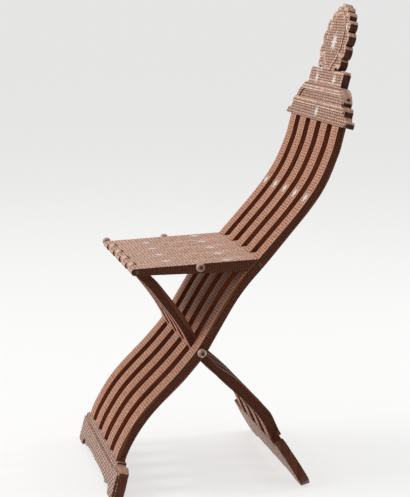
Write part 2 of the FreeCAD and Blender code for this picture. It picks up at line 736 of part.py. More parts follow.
rail_half = group_half + size["rail_overhang"]
crest_line_place = FreeCAD.Placement(crest_foot, FreeCAD.Rotation(vec(1), -CREST_LEAN))
crest_place = FreeCAD.Placement(vec(0, shift), FreeCAD.Rotation()).multiply(crest_line_place)
crest_rail = new_body("crest_rail")
rail_offset = FreeCAD.Placement(vec(0, 0, -size["crest_setback"]), FreeCAD.Rotation())
outline = board_sketch(
    crest_rail, "crest_rail_outline", CREST_RAIL_SHARES, rail_half, size["rail_height"], rail_offset
)
pad(crest_rail, "crest_rail_board", outline, "sizes.rail_thickness")

# The rail's front: a frame of mouldings round a long panel, and a lip along the lower edge.
RAIL_FRAME_SHARES = [
    (0, 0.935),
    (0.565, 0.935),
    ("arc", (0.690, 0.800), (0.765, 0.600)),
    ("arc", (0.765, 0.540), (0.785, 0.475)),
    ("arc", (0.845, 0.450), (0.862, 0.370)),
    (0, 0.370),
]
RAIL_PANEL_SHARES = [
    (0, 0.800),
    (0.530, 0.800),
    ("arc", (0.620, 0.720), (0.680, 0.530)),
    (0, 0.530),
]
RAIL_LIP_SHARES = [
    (0, 0.090),
    (0.970, 0.090),
    ("arc", (0.981, 0.050), (0.982, 0)),
    (0, 0),
]

rail_front = size["rail_thickness"] / 2 - size["crest_setback"]
for name, shares in (("rail_frame", RAIL_FRAME_SHARES), ("rail_lip", RAIL_LIP_SHARES)):
    offset = FreeCAD.Placement(vec(0, 0, rail_front), FreeCAD.Rotation())
    outline = board_sketch(crest_rail, name + "_outline", shares, rail_half, size["rail_height"], offset)
    raised = crest_rail.newObject("PartDesign::Pad", name)
    raised.Profile = outline
    raised.setExpression("Length", "sizes.rail_relief")
panel_offset = FreeCAD.Placement(vec(0, 0, rail_front + size["rail_relief"]), FreeCAD.Rotation())
panel = board_sketch(
    crest_rail, "rail_panel_outline", RAIL_PANEL_SHARES, rail_half, size["rail_height"], panel_offset
)
sunk = crest_rail.newObject("PartDesign::Pocket", "rail_panel")
sunk.Profile = panel
sunk.setExpression("Length", "sizes.rail_relief")
mortises(crest_rail, "crest_rail_mortises", BACK_LANES, 0, 1, "tenon_width", crest_tenon_step)
crest_star(crest_rail, "rail_star", 0, RAIL_STAR_SHARE, rail_front, "star_diameter")
crest_rail.Placement = crest_place
parts.append(crest_rail)

# The finial: a shouldered base, a neck and an oval with a rim of lobes.
BLOCK_SHARES = [
    (0, 0.1800),
    (0.880, 0.1860),
    ("arc", (0.990, 0.1640), (1, 0.1050)),
    (1, 0),
    (0, 0),
]
LOBE_SHARES = [
    (0, 1),
    ("arc", (0.110, 0.9900), (0.190, 0.9500)),
    ("arc", (0.345, 0.9560), (0.440, 0.8850)),
    ("arc", (0.655, 0.8590), (0.665, 0.7820)),
    ("arc", (0.890, 0.7360), (0.805, 0.6540)),
    ("arc", (1, 0.5800), (0.850, 0.4970)),
    ("arc", (1, 0.4300), (0.790, 0.3430)),
    ("arc", (0.890, 0.2650), (0.665, 0.2180)),
    ("arc", (0.560, 0.2080), (0.500, 0.1700)),
    (0.500, 0.1400),
    (0, 0.1400),
]
FIELD_SHARES = [
    (0, 0.9100),
    ("arc", (0.630, 0.5400), (0.260, 0.2300)),
    (0.260, 0.1700),
    (0, 0.1700),
]

crest_finial = new_body("crest_finial")
lift = FreeCAD.Placement(vec(0, size["rail_height"], -size["crest_setback"]), FreeCAD.Rotation())
front_offset = size["finial_thickness"] / 2 - size["crest_setback"]
field_lift = FreeCAD.Placement(vec(0, size["rail_height"], front_offset), FreeCAD.Rotation())
block = board_sketch(
    crest_finial, "block_outline", BLOCK_SHARES, size["block_half_width"], size["finial_height"], lift
)
pad(crest_finial, "finial_block", block, "sizes.finial_thickness")
lobes = board_sketch(
    crest_finial, "lobe_outline", LOBE_SHARES, size["finial_half_width"], size["finial_height"], lift
)
pad(crest_finial, "finial_lobes", lobes, "sizes.finial_thickness")
field = board_sketch(
    crest_finial, "field_outline", FIELD_SHARES, size["finial_half_width"], size["finial_height"], field_lift
)
raised = crest_finial.newObject("PartDesign::Pad", "finial_field")
raised.Profile = field
raised.setExpression("Length", "sizes.field_relief")
for side in (-1, 1):
    name = "left" if side > 0 else "right"
    across = side * BLOCK_STAR_SHARES[0] * size["block_half_width"]
    crest_star(crest_finial, "block_star_" + name, across, BLOCK_STAR_SHARES[1], front_offset, "star_diameter")
    across = side * HIGH_STAR_SHARES[0] * size["finial_half_width"]
    crest_star(crest_finial, "high_star_" + name, across, HIGH_STAR_SHARES[1], front_offset, "small_star_diameter")
field_front = front_offset + size["field_relief"]
crest_star(crest_finial, "field_star", 0, FIELD_STAR_SHARE, field_front, "star_diameter")
crest_finial.Placement = crest_place
parts.append(crest_finial)


# Rods and their turned knobs.
def rod(name, place, first_x, last_x):
    piece = doc.addObject("Part::Cylinder", name)
    piece.Label = name
    piece.setExpression("Radius", "sizes.rod_diameter / 2")
    piece.Height = last_x - first_x
    piece.Placement = FreeCAD.Placement(
        vec(first_x, place.y + shift, place.z), FreeCAD.Rotation(vec(0, 1), 90)
    )
    parts.append(piece)


knob_start = group_half + size["side_clearance"]
rod_end = knob_start + size["knob_length"] - size["rivet_inset"]
blind_end = group_half - size["blind_wall"] - size["side_clearance"]
rod("crossing_rod", crossing, -rod_end, rod_end)
rod("mid_rod", mid_rod_place, -rod_end, rod_end)
rod("rear_rod", rear_rod_place, -blind_end, blind_end)

# A knob's profile from the slat outwards: shares of its length and of its radius.
KNOB_COLLAR_SHARE = 0.150
KNOB_SHARES = ((0.240, 0.560), (0.460, 0.960), (0.660, 1.000), (1, 0.580))


def turned(body, corners_before, neck, inner_radius):
    """Turn a knob on the X axis. Its collar starts at 0 and the neck sets its bulb further out."""
    sketch = new_sketch(body, body.Label + "_profile", "XY_Plane")
    length = size["knob_length"]
    radius = size["knob_diameter"] / 2
    collar = size["knob_collar_diameter"] / 2
    corners = corners_before + [vec(0, collar), vec(length * KNOB_COLLAR_SHARE + neck, collar)]
    corners += [vec(along * length + neck, out * radius) for along, out in KNOB_SHARES]
    corners += [vec(length + neck, inner_radius)]
    polygon(sketch, corners)
    revolution = body.newObject("PartDesign::Revolution", body.Label + "_turned")
    revolution.Profile = sketch
    revolution.ReferenceAxis = (sketch, ["H_Axis"])
    revolution.Angle = 360


def facing(place, side):
    """The place of a turned piece whose profile runs outwards on this side."""
    turn = FreeCAD.Rotation(vec(0, 0, 1), 0 if side > 0 else 180)
    return FreeCAD.Placement(vec(side * knob_start, place.y + shift, place.z), turn)


def knob_pair(name, place):
    pair = doc.addObject("Part::Compound", name)
    pair.Label = name
    knobs = []
    for side, side_name in ((1, "left"), (-1, "right")):
        body = new_body("%s_%s" % (name, side_name))
        turned(body, [vec(0, rod_radius)], 0, rod_radius)
        body.Placement = facing(place, side)
        knobs.append(body)
    pair.Links = knobs
    parts.append(pair)


knob_pair("crossing_knobs", crossing)
knob_pair("mid_knobs", mid_rod_place)

# The front rod is turned in one piece with the long knob that draws it out.
front_pin = new_body("front_pin")
pin_length = group_half + knob_start
pin_start = [vec(-pin_length), vec(-pin_length, rod_radius), vec(0, rod_radius)]
turned(front_pin, pin_start, size["pull_neck"], 0)
front_pin.Placement = facing(front_rod_place, -1)
parts.append(front_pin)

# Pearl stars, sunk flush, as one group for each moving set.
for name, solids in inlays.items():
    group = doc.addObject("Part::Feature", name)
    group.Label = name
    group.Shape = Part.makeCompound(solids)
    group.Placement = FreeCAD.Placement(vec(0, shift), FreeCAD.Rotation())
    parts.append(group)

doc.recompute()
for thing in doc.Objects:
    if "Invalid" in thing.State or "Error" in thing.State:
        raise RuntimeError("%s failed: %s" % (thing.Name, thing.State))
for piece in parts:
    if piece.Shape.isNull() or not piece.Shape.isValid():
        raise RuntimeError("%s has no valid shape" % piece.Label)

os.makedirs("parts", exist_ok=True)
box = FreeCAD.BoundBox()
for piece in parts:
    piece.Shape.exportStep("parts/%s.step" % piece.Label)
    box.add(piece.Shape.BoundBox)
    print("%-20s %2d solids %9.1f mm3" % (piece.Label, len(piece.Shape.Solids), piece.Shape.Volume))
print("box", box)
for name, place in (
    ("crossing", crossing),
    ("front rod", front_rod_place),
    ("middle rod", mid_rod_place),
    ("rear rod", rear_rod_place),
):
    print("%-11s y %.3f z %.3f" % (name, place.y + shift, place.z))
print("shift %.3f" % shift)
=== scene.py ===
# %% [markdown]
# # A folding chair of inlaid slats
#
# The real object is a chair of the savonarola kind: two rows of bent slats that cross on a rod,
# a seat of two interleaved rows of slats, two sawn feet and a lobed crest. This lesson takes
# the chair's solids as they come from the construction model and gives them what a camera sees:
# softened edges, inlay, pearl stars, grain and wear. The solids stay where they are. Each
# dressed piece stands in the place of its solid and moves with the same body.

import math

import bmesh
import bpy
import numpy as np
from mathutils import Matrix, Vector
from mathutils.bvhtree import BVHTree


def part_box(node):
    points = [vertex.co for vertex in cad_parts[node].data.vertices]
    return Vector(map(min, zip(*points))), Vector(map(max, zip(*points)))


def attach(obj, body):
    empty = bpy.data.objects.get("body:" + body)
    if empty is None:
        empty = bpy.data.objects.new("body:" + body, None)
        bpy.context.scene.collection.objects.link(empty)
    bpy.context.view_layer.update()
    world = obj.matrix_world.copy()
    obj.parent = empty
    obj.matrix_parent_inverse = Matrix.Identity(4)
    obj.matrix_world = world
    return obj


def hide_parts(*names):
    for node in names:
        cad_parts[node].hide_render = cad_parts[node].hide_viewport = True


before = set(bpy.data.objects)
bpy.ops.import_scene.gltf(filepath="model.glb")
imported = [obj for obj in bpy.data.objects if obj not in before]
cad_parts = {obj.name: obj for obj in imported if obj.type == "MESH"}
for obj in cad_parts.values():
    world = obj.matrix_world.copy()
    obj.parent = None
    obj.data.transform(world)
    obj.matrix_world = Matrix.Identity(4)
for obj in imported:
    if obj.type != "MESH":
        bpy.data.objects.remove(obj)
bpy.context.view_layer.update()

# %% [markdown]
# ## The camera
#
# The photograph was taken from the chair's left side, a little from the front and from above,
# with a long lens. The place and the lens were worked out from the rods, the feet and the rows
# of stars, whose places on the chair are known.

# %% Camera
PHOTO_HEIGHT = 497
FOCAL_PIXELS = 1702
SENSOR = 36.0
CAMERA_PLACE = Vector((3.449, -0.7384, 1.002))
CAMERA_AZIMUTH = math.radians(78.50)
CAMERA_ELEVATION = math.radians(8.78)

back = Vector(
    (
        math.sin(CAMERA_AZIMUTH) * math.cos(CAMERA_ELEVATION),
        -math.cos(CAMERA_AZIMUTH) * math.cos(CAMERA_ELEVATION),
        math.sin(CAMERA_ELEVATION),
    )
)
right = Vector((math.cos(CAMERA_AZIMUTH), math.sin(CAMERA_AZIMUTH), 0))
up = back.cross(right)
camera_data = bpy.data.cameras.new("camera")
camera_data.sensor_width = SENSOR
camera_data.lens = FOCAL_PIXELS * SENSOR / PHOTO_HEIGHT
camera = bpy.data.objects.new("camera", camera_data)
axes = Matrix((right, up, back)).transposed().to_4x4()
camera.matrix_world = Matrix.Translation(CAMERA_PLACE) @ axes
bpy.context.scene.collection.objects.link(camera)
bpy.context.scene.camera = camera
print("lens", round(camera_data.lens, 1), "mm")

# %% [markdown]
# ## Small tools for node trees
#
# A finish is a tree of nodes. Short functions keep the trees readable. One adds a node, one joins
# a socket to a socket or sets its value, and one does arithmetic. The others start a group with
# named sockets, or do a step that several trees share.

# %% Node helpers
FLOAT = "NodeSocketFloat"
VECTOR = "NodeSocketVector"
# The Mix node keeps its share and its two colours at these numbers, and the result at the last.
MIX_INPUTS = (0, 6, 7)
MIX_OUTPUT = 2


def add_node(tree, kind, **settings):
    node = tree.nodes.new(kind)
    for key, value in settings.items():
        setattr(node, key, value)
    return node


def feed(tree, source, target):
    if isinstance(source, bpy.types.NodeSocket):
        tree.links.new(source, target)
    else:
        target.default_value = source


def sums(tree, operation, *values):
    node = add_node(tree, "ShaderNodeMath", operation=operation)
    for value, socket in zip(values, node.inputs):
        feed(tree, value, socket)
    return node.outputs[0]


def joined(tree, x=0.0, y=0.0, z=0.0):
    """Three numbers as one vector."""
    node = add_node(tree, "ShaderNodeCombineXYZ")
    for value, socket in zip((x, y, z), node.inputs):
        feed(tree, value, socket)
    return node.outputs[0]


def split(tree, vector):
    """The three numbers of a vector."""
    node = add_node(tree, "ShaderNodeSeparateXYZ")
    feed(tree, vector, node.inputs[0])
    return node.outputs


def blend_colours(tree, share, first, second, way="MIX"):
    node = add_node(tree, "ShaderNodeMix", data_type="RGBA", blend_type=way)
    for value, number in zip((share, first, second), MIX_INPUTS):
        feed(tree, value, node.inputs[number])
    return node.outputs[MIX_OUTPUT]


def range_of(tree, value, low, high):
    """A value from 0 to 1 stretched to run from low to high."""
    node = add_node(tree, "ShaderNodeMapRange")
    feed(tree, value, node.inputs["Value"])
    node.inputs["To Min"].default_value = low
    node.inputs["To Max"].default_value = high
    return node.outputs["Result"]


def noise(tree, place, **settings):
    node = add_node(tree, "ShaderNodeTexNoise")
    feed(tree, place, node.inputs["Vector"])
    for label, value in settings.items():
        node.inputs[label].default_value = value
    return node.outputs["Fac"]


def new_group(name, inputs, outputs):
    group = bpy.data.node_groups.new(name, "ShaderNodeTree")
    for label, kind, value in inputs:
        socket = group.interface.new_socket(label, in_out="INPUT", socket_type=kind)
        socket.default_value = value
    for label, kind in outputs:
        group.interface.new_socket(label, in_out="OUTPUT", socket_type=kind)
    start = group.nodes.new("NodeGroupInput")
    end = group.nodes.new("NodeGroupOutput")
    return group, start.outputs, end.inputs


def use_group(tree, group, **values):
    node = add_node(tree, "ShaderNodeGroup", node_tree=group)
    for label, value in values.items():
        feed(tree, value, node.inputs[label])
    return node.outputs


def colour(red, green, blue):
    """A colour as it looks on a screen, 0 to 255, as the light values that shaders want."""
    shares = [value / 255 for value in (red, green, blue)]
    return [((s + 0.055) / 1.055) ** 2.4 if s > 0.04045 else s / 12.92 for s in shares] + [1.0]


# %% [markdown]
# ## Grain
#
# The planks are a dark, close-grained fruitwood, cut along the slat. Long thin streaks come from
# noise that is stretched along the piece, and a finer noise gives the pores. The group takes a
# place in metres, the first number across the piece and the second along it.

# %% Grain group
GRAIN_STRETCH = (260, 14, 260)
PLANK_SHIFT = 7.3

wood_grain, start, end = new_group(
    "wood_grain",
    [("Place", VECTOR, (0, 0, 0)), ("Plank", FLOAT, 0.0)],
    [("Streaks", FLOAT), ("Pores", FLOAT)],
)
spread = add_node(wood_grain, "ShaderNodeVectorMath", operation="MULTIPLY_ADD")
feed(wood_grain, start["Place"], spread.inputs[0])
spread.inputs[1].default_value = GRAIN_STRETCH
further = sums(wood_grain, "MULTIPLY", start["Plank"], PLANK_SHIFT)
feed(wood_grain, joined(wood_grain, y=further, z=start["Plank"]), spread.inputs[2])
streaks = noise(wood_grain, spread.outputs[0], Scale=1.0, Detail=4.0, Distortion=0.6)
pores = noise(wood_grain, spread.outputs[0], Scale=5.0, Detail=2.0)
feed(wood_grain, streaks, end["Streaks"])
feed(wood_grain, pores, end["Pores"])
print("grain group:", len(wood_grain.nodes), "nodes")

# %% [markdown]
# ## Block inlay
#
# The faces are covered with small lozenges of bone and of several woods, sawn from a glued block
# and laid as a veneer. Light lozenges stand in rows on a dark ground, every second row shifted
# by half a lozenge. Each has a dark middle and is built of four chips with tones of their own,
# because no two pieces of bone or wood match. On wide faces the lozenges are longer across.

# %% Inlay group
LOZENGE_REACH = 0.47
MIDDLE_REACH = 0.13
SEAM_REACH = 0.02

block_inlay, start, end = new_group(
    "block_inlay",
    [("Place", VECTOR, (0, 0, 0)), ("Cell", FLOAT, 0.008), ("Length", FLOAT, 2.0)],
    [("Chip", FLOAT), ("Tone", FLOAT), ("Seam", FLOAT)],
)
place = split(block_inlay, start["Place"])
along = sums(block_inlay, "DIVIDE", place[1], start["Cell"])
row = sums(block_inlay, "FLOOR", sums(block_inlay, "ADD", along, 0.5))
shift = sums(block_inlay, "MULTIPLY", sums(block_inlay, "FLOORED_MODULO", row, 2.0), 0.5)
cell_length = sums(block_inlay, "MULTIPLY", start["Length"], start["Cell"])
across = sums(block_inlay, "DIVIDE", place[0], cell_length)
scaled = [sums(block_inlay, "ADD", across, shift), along]
reach = []
for value in scaled:
    share = sums(block_inlay, "FRACT", sums(block_inlay, "ADD", value, 0.5))
    reach.append(sums(block_inlay, "ABSOLUTE", sums(block_inlay, "SUBTRACT", share, 0.5)))
span = sums(block_inlay, "ADD", *reach)
lozenge = sums(block_inlay, "LESS_THAN", span, LOZENGE_REACH)
middle = sums(block_inlay, "LESS_THAN", span, MIDDLE_REACH)
quarters = [
    sums(block_inlay, "FLOOR", sums(block_inlay, "MULTIPLY", value, 2.0)) for value in scaled
]
tone = add_node(block_inlay, "ShaderNodeTexWhiteNoise", noise_dimensions="3D")
feed(block_inlay, joined(block_inlay, *quarters), tone.inputs["Vector"])
seam = sums(block_inlay, "LESS_THAN", sums(block_inlay, "MINIMUM", *reach), SEAM_REACH)
feed(block_inlay, sums(block_inlay, "SUBTRACT", lozenge, middle), end["Chip"])
feed(block_inlay, tone.outputs["Value"], end["Tone"])
feed(block_inlay, seam, end["Seam"])
print("inlay group:", len(block_inlay.nodes), "nodes")

# %% [markdown]
# ## Edge strings and wear
#
# A thin plain string of light wood runs along both edges of an inlaid face, with a dark line
# beside it. The dressed meshes carry the half width of each face, so the distance to the edge is
# that number less the distance from the middle. The same distance tells where hands have rubbed
# the edges pale.

# %% Border group
LINE_HALF_WIDTH = 0.00045
WEAR_REACH = 0.0022

edge_string, start, end = new_group(
    "edge_string",
    [("Across", FLOAT, 0.0), ("Half", FLOAT, 0.02), ("Width", FLOAT, 0.003)],
    [("String", FLOAT), ("Line", FLOAT), ("Wear", FLOAT)],
)
from_middle = sums(edge_string, "ABSOLUTE", start["Across"])
inset = sums(edge_string, "SUBTRACT", start["Half"], from_middle)
feed(edge_string, sums(edge_string, "LESS_THAN", inset, start["Width"]), end["String"])
from_line = sums(edge_string, "ABSOLUTE", sums(edge_string, "SUBTRACT", inset, start["Width"]))
feed(edge_string, sums(edge_string, "LESS_THAN", from_line, LINE_HALF_WIDTH), end["Line"])
worn = sums(edge_string, "SUBTRACT", 1.0, sums(edge_string, "DIVIDE", inset, WEAR_REACH))
limit = add_node(edge_string, "ShaderNodeClamp")
feed(edge_string, worn, limit.inputs[0])
feed(edge_string, limit.outputs[0], end["Wear"])
print("border group:", len(edge_string.nodes), "nodes")

# %% [markdown]
# ## The finishes
#
# Every finish of wood or inlay reads the same three things from its mesh: where it is across and
# along the piece, the half width of the face, and the number of the plank. From these come the
# grain, the lozenges and the strings. Pearl and bone take their tints from noise in the piece's
# own space. The Principled shader itself stays in each material, with its fixed numbers set on
# its own sockets.

# %% Material helpers
WOOD_SHINE = 0.12
WHITE = (1.0, 1.0, 1.0, 1)
CHIP_SHADE = (0.62, 0.58, 0.55, 1)
STREAK_SHADE = (0.76, 0.72, 0.69, 1)
WOOD_STREAKS = (-0.6, 1.6)
INLAY_STREAKS = (-0.3, 1.3)
INLAY_ROUGHNESS = (0.45, 0.68)
PORE_ROUGHNESS = 0.1
WEAR_SHARE = 0.35
SEAM_SHARE = 0.35


def new_material(name):
    material = bpy.data.materials.new(name)
    material.use_nodes = True
    tree = material.node_tree
    return material, tree, tree.nodes["Principled BSDF"]


def start_finish(name):
    """A material with its shader, its grain, and the places that the dressed meshes carry."""
    material, tree, shader = new_material(name)
    place = add_node(tree, "ShaderNodeUVMap", uv_map="slat_place").outputs["UV"]
    half = add_node(tree, "ShaderNodeAttribute", attribute_name="half").outputs["Fac"]
    plank = add_node(tree, "ShaderNodeAttribute", attribute_name="plank").outputs["Fac"]
    grain = use_group(tree, wood_grain, Place=place, Plank=plank)
    return material, tree, shader, place, half, grain


def raise_surface(tree, shader, height, strength, distance):
    bump = add_node(tree, "ShaderNodeBump")
    bump.inputs["Strength"].default_value = strength
    bump.inputs["Distance"].default_value = distance
    feed(tree, height, bump.inputs["Height"])
    feed(tree, bump.outputs[0], shader.inputs["Normal"])


def plain_wood(name, dark, light, roughness, coat):
    material, tree, shader, place, half, grain = start_finish(name)
    edge = use_group(tree, edge_string, Across=split(tree, place)[0], Half=half)
    wood = blend_colours(tree, range_of(tree, grain["Streaks"], *WOOD_STREAKS), dark, light)
    wood = blend_colours(tree, sums(tree, "MULTIPLY", edge["Wear"], WEAR_SHARE), wood, light)
    feed(tree, wood, shader.inputs["Base Color"])
    rough = (roughness - PORE_ROUGHNESS, roughness + PORE_ROUGHNESS)
    feed(tree, range_of(tree, grain["Pores"], *rough), shader.inputs["Roughness"])
    shader.inputs["Specular IOR Level"].default_value = WOOD_SHINE
    shader.inputs["Coat Weight"].default_value = coat
    shader.inputs["Coat Roughness"].default_value = 0.3
    raise_surface(tree, shader, grain["Pores"], 0.25, 0.0003)
    return material


def inlaid(name, chip_dark, chip_light, string, line, cell, length, string_width):
    material, tree, shader, place, half, grain = start_finish(name)
    inlay = use_group(tree, block_inlay, Place=place, Cell=cell, Length=length)
    across = split(tree, place)[0]
    edge = use_group(tree, edge_string, Across=across, Half=half, Width=string_width)
    tones = blend_colours(tree, inlay["Tone"], CHIP_SHADE, WHITE)
    chips = blend_colours(tree, inlay["Chip"], chip_dark, chip_light)
    chips = blend_colours(tree, 1.0, chips, tones, "MULTIPLY")
    chips = blend_colours(tree, sums(tree, "MULTIPLY", inlay["Seam"], SEAM_SHARE), chips, line)
    field = blend_colours(tree, edge["String"], chips, string)
    field = blend_colours(tree, edge["Line"], field, line)
    streaks = range_of(tree, grain["Streaks"], *INLAY_STREAKS)
    shade = blend_colours(tree, streaks, STREAK_SHADE, WHITE)
    field = blend_colours(tree, 1.0, field, shade, "MULTIPLY")
    feed(tree, field, shader.inputs["Base Color"])
    feed(tree, range_of(tree, inlay["Tone"], *INLAY_ROUGHNESS), shader.inputs["Roughness"])
    shader.inputs["Specular IOR Level"].default_value = WOOD_SHINE
    shader.inputs["Coat Weight"].default_value = 0.02
    shader.inputs["Coat Roughness"].default_value = 0.25
    raise_surface(tree, shader, sums(tree, "ADD", inlay["Tone"], grain["Pores"]), 0.2, 0.0002)
    return material


# %% The finishes themselves
# The colours of an inlay are those of its ground, lozenges, strings and lines.
INLAY_COLOURS = {
    "face_inlay": ((164, 107, 83), (240, 191, 163), (228, 176, 148), (92, 46, 28)),
    "seat_inlay": ((174, 126, 106), (250, 218, 198), (236, 194, 172), (124, 80, 62)),
    "crest_inlay": ((142, 98, 80), (238, 203, 185), (234, 192, 172), (92, 52, 38)),
    "foot_inlay": ((134, 96, 80), (240, 208, 192), (234, 192, 172), (92, 52, 38)),
    "side_inlay": ((62, 27, 13), (120, 69, 44), (108, 62, 40), (42, 17, 8)),
}
# Its sizes are the height of a lozenge, its length in heights, and the width of a string.
INLAY_SIZES = {
    "face_inlay": (0.0060, 2.0, 0.0036),
    "seat_inlay": (0.0070, 2.1, 0.0026),
    "crest_inlay": (0.0055, 2.3, 0.0030),
    "foot_inlay": (0.0064, 3.0, 0.0030),
    "side_inlay": (0.0050, 1.0, 0.0024),
}
# Each plain wood has its dark and light colours, its roughness and its coat of wax.
PLAIN_WOODS = {
    "gap_wood": ((66, 24, 8), (116, 54, 24), 0.55, 0.02),
    "rear_wood": ((60, 30, 18), (106, 62, 42), 0.5, 0.06),
    "end_wood": ((58, 26, 14), (104, 60, 40), 0.5, 0.04),
    "dark_wood": ((44, 20, 13), (84, 48, 34), 0.5, 0.04),
    # The paler wood of faces that look up is a painted highlight, not wear.
    "lit_top_wood": ((136, 98, 82), (196, 156, 136), 0.5, 0.06),
}
finishes = {}
for name, levels in INLAY_COLOURS.items():
    colours = [colour(*level) for level in levels]
    finishes[name] = inlaid(name, *colours, *INLAY_SIZES[name])
for name, (dark, light, roughness, coat) in PLAIN_WOODS.items():
    finishes[name] = plain_wood(name, colour(*dark), colour(*light), roughness, coat)


# %% Turned wood
RIM_WIDTH = 0.0030
RIM_SHARE = 0.75
SHADED_CORE_REACH = 0.45
SHADED_CORE_SHARE = 0.85
TURNED_ROUGHNESS = (0.28, 0.42)


def turned(name, dark, light, painted_shade):
    """Turned pieces: the place across is the distance from the axis, and the rim is paler.
    The thin dark line inside the rim and the dark middle of each end are painted shade.
    """
    material, tree, shader, place, half, grain = start_finish(name)
    radius = split(tree, place)[0]
    edge = use_group(tree, edge_string, Across=radius, Half=half, Width=RIM_WIDTH)
    wood = blend_colours(tree, range_of(tree, grain["Streaks"], *WOOD_STREAKS), dark, light)
    wood = blend_colours(tree, sums(tree, "MULTIPLY", edge["String"], RIM_SHARE), wood, light)
    # The thin dark line inside the rim and the dark middle of each end are painted shade.
    wood = blend_colours(tree, edge["Line"], wood, painted_shade)
    inner = sums(tree, "LESS_THAN", radius, sums(tree, "MULTIPLY", half, SHADED_CORE_REACH))
    wood = blend_colours(tree, sums(tree, "MULTIPLY", inner, SHADED_CORE_SHARE), wood, painted_shade)
    feed(tree, wood, shader.inputs["Base Color"])
    feed(tree, range_of(tree, grain["Pores"], *TURNED_ROUGHNESS), shader.inputs["Roughness"])
    shader.inputs["Coat Weight"].default_value = 0.3
    shader.inputs["Coat Roughness"].default_value = 0.2
    raise_surface(tree, shader, grain["Pores"], 0.2, 0.0002)
    return material


# The last colour is the painted shade of the middle and of the line.
turned_wood = turned("turned_wood", colour(78, 46, 32), colour(176, 138, 114), colour(26, 12, 8))


# %% Pearl and bone
def make_pearl():
    material, tree, shader = new_material("pearl")
    place = add_node(tree, "ShaderNodeTexCoord").outputs["Object"]
    layers = noise(tree, place, Scale=180.0, Distortion=2.5)
    tint = blend_colours(tree, layers, colour(206, 204, 196), colour(250, 240, 234))
    feed(tree, tint, shader.inputs["Base Color"])
    shader.inputs["Roughness"].default_value = 0.22
    shader.inputs["Coat Weight"].default_value = 0.6
    shader.inputs["Coat Roughness"].default_value = 0.08
    raise_surface(tree, shader, layers, 0.15, 0.0004)
    return material


def make_bone():
    """Bone for beads and reeds, with a tone that changes from bead to bead."""
    material, tree, shader = new_material("bone")
    place = add_node(tree, "ShaderNodeTexCoord").outputs["Object"]
    stains = noise(tree, place, Scale=60.0, Detail=3.0)
    share = range_of(tree, stains, -0.4, 1.4)
    tint = blend_colours(tree, share, colour(172, 130, 108), colour(248, 218, 200))
    feed(tree, tint, shader.inputs["Base Color"])
    feed(tree, range_of(tree, stains, 0.35, 0.6), shader.inputs["Roughness"])
    shader.inputs["Specular IOR Level"].default_value = 0.3
    raise_surface(tree, shader, stains, 0.15, 0.0003)
    return material


pearl = make_pearl()
bone = make_bone()
print("finishes:", [material.name for material in bpy.data.materials])

# %% [markdown]
# ## Dressing a plank
#
# A solid comes as loose triangles with knife-sharp edges. A copy is welded, its flat faces are
# made whole, and its long outer edges are rounded by under a millimetre, as sandpaper and long
# use leave them. Then each face gets its place: across the piece and along its bent middle line,
# which is found from the solid itself.

# %% Dressing tools
WELD_DISTANCE = 1e-6
SAME_PLACE = 1e-5
FLAT_ANGLE = math.radians(1.2)
SHARP_ANGLE = math.radians(35)
EDGE_ROUND = 0.0007
LINE_STEP = 0.008
LINE_END = 0.001
FEWEST_POINTS = 3
# A lying slat runs along the first number of a place on its middle line, a standing one along
# the second.
LYING, STANDING = 0, 1


def welded_copy(node):
    shape = bmesh.new()
    shape.from_mesh(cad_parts[node].data)
    bmesh.ops.remove_doubles(shape, verts=shape.verts, dist=WELD_DISTANCE)
    bmesh.ops.dissolve_limit(shape, angle_limit=FLAT_ANGLE, verts=shape.verts, edges=shape.edges)
    return shape


def mesh_of(shape, name):
    mesh = bpy.data.meshes.new(name)
    shape.to_mesh(mesh)
    shape.free()
    return mesh


def soften(shape, is_outer, round_by):
    sharp = []
    for edge in shape.edges:
        if len(edge.link_faces) == 2 and edge.calc_face_angle(0) > SHARP_ANGLE and is_outer(edge):
            sharp.append(edge)
    bmesh.ops.bevel(
        shape,
        geom=sharp,
        offset=round_by,
        segments=2,
        profile=0.5,
        affect="EDGES",
        clamp_overlap=True,
    )


def middle_line(shape, side_x):
    """Points up the middle of a slat's side, each with half the slat's level width there."""
    edges = []
    for edge in shape.edges:
        if all(abs(vertex.co.x - side_x) < SAME_PLACE for vertex in edge.verts):
            edges.append([(vertex.co.y, vertex.co.z) for vertex in edge.verts])
    edges = np.array(edges)
    low, high = edges[:, :, 1].min(axis=1), edges[:, :, 1].max(axis=1)
    bottom, top = low.min(), high.max()
    count = max(FEWEST_POINTS, int((top - bottom) / LINE_STEP))
    points = []
    for level in np.linspace(bottom + LINE_END, top - LINE_END, count):
        (y0, z0), (y1, z1) = edges[(low < level) & (high > level)].transpose(1, 2, 0)
        deep = y0 + (y1 - y0) * (level - z0) / (z1 - z0)
        points.append(((deep.min() + deep.max()) / 2, level, (deep.max() - deep.min()) / 2))
    return np.array(points)


def along_and_aside(line, way, deep, high):
    """How far along the middle line a point lies, how far to its side, and the half depth there."""
    runs = line[1:, :2] - line[:-1, :2]
    lengths = np.hypot(runs[:, 0], runs[:, 1])
    starts = np.concatenate([[0], np.cumsum(lengths)[:-1]])
    gaps = np.array([deep, high]) - line[:-1, :2]
    shares = (gaps * runs).sum(1) / lengths**2
    shares[1:] = np.maximum(shares[1:], 0)
    shares[:-1] = np.minimum(shares[:-1], 1)
    nearest = line[:-1, :2] + runs * shares[:, None]
    apart = np.hypot(nearest[:, 0] - deep, nearest[:, 1] - high)
    best = int(apart.argmin())
    turn = runs[best] / lengths[best]
    aside = gaps[best][0] * turn[1] - gaps[best][1] * turn[0]
    return starts[best] + shares[best] * lengths[best], aside, line[best, 2] * abs(turn[way])


# %% [markdown]
# ## The slats
#
# There are four rows: five back slats, four leg slats, five front seat slats and four rear ones.
# The slats of a row are the same, so one is dressed and a Geometry Nodes tree repeats it at the
# lane's pitch. The tree numbers the planks for the grain, and sets the materials: plain wood in
# the gaps, and a finish each for the faces, the rears, the legs' tops and the outer sides.

# %% Steps that the Geometry Nodes trees share
WHOLE = "NodeSocketInt"
MATERIAL = "NodeSocketMaterial"
MESH = "NodeSocketGeometry"
NEARLY = 0.1


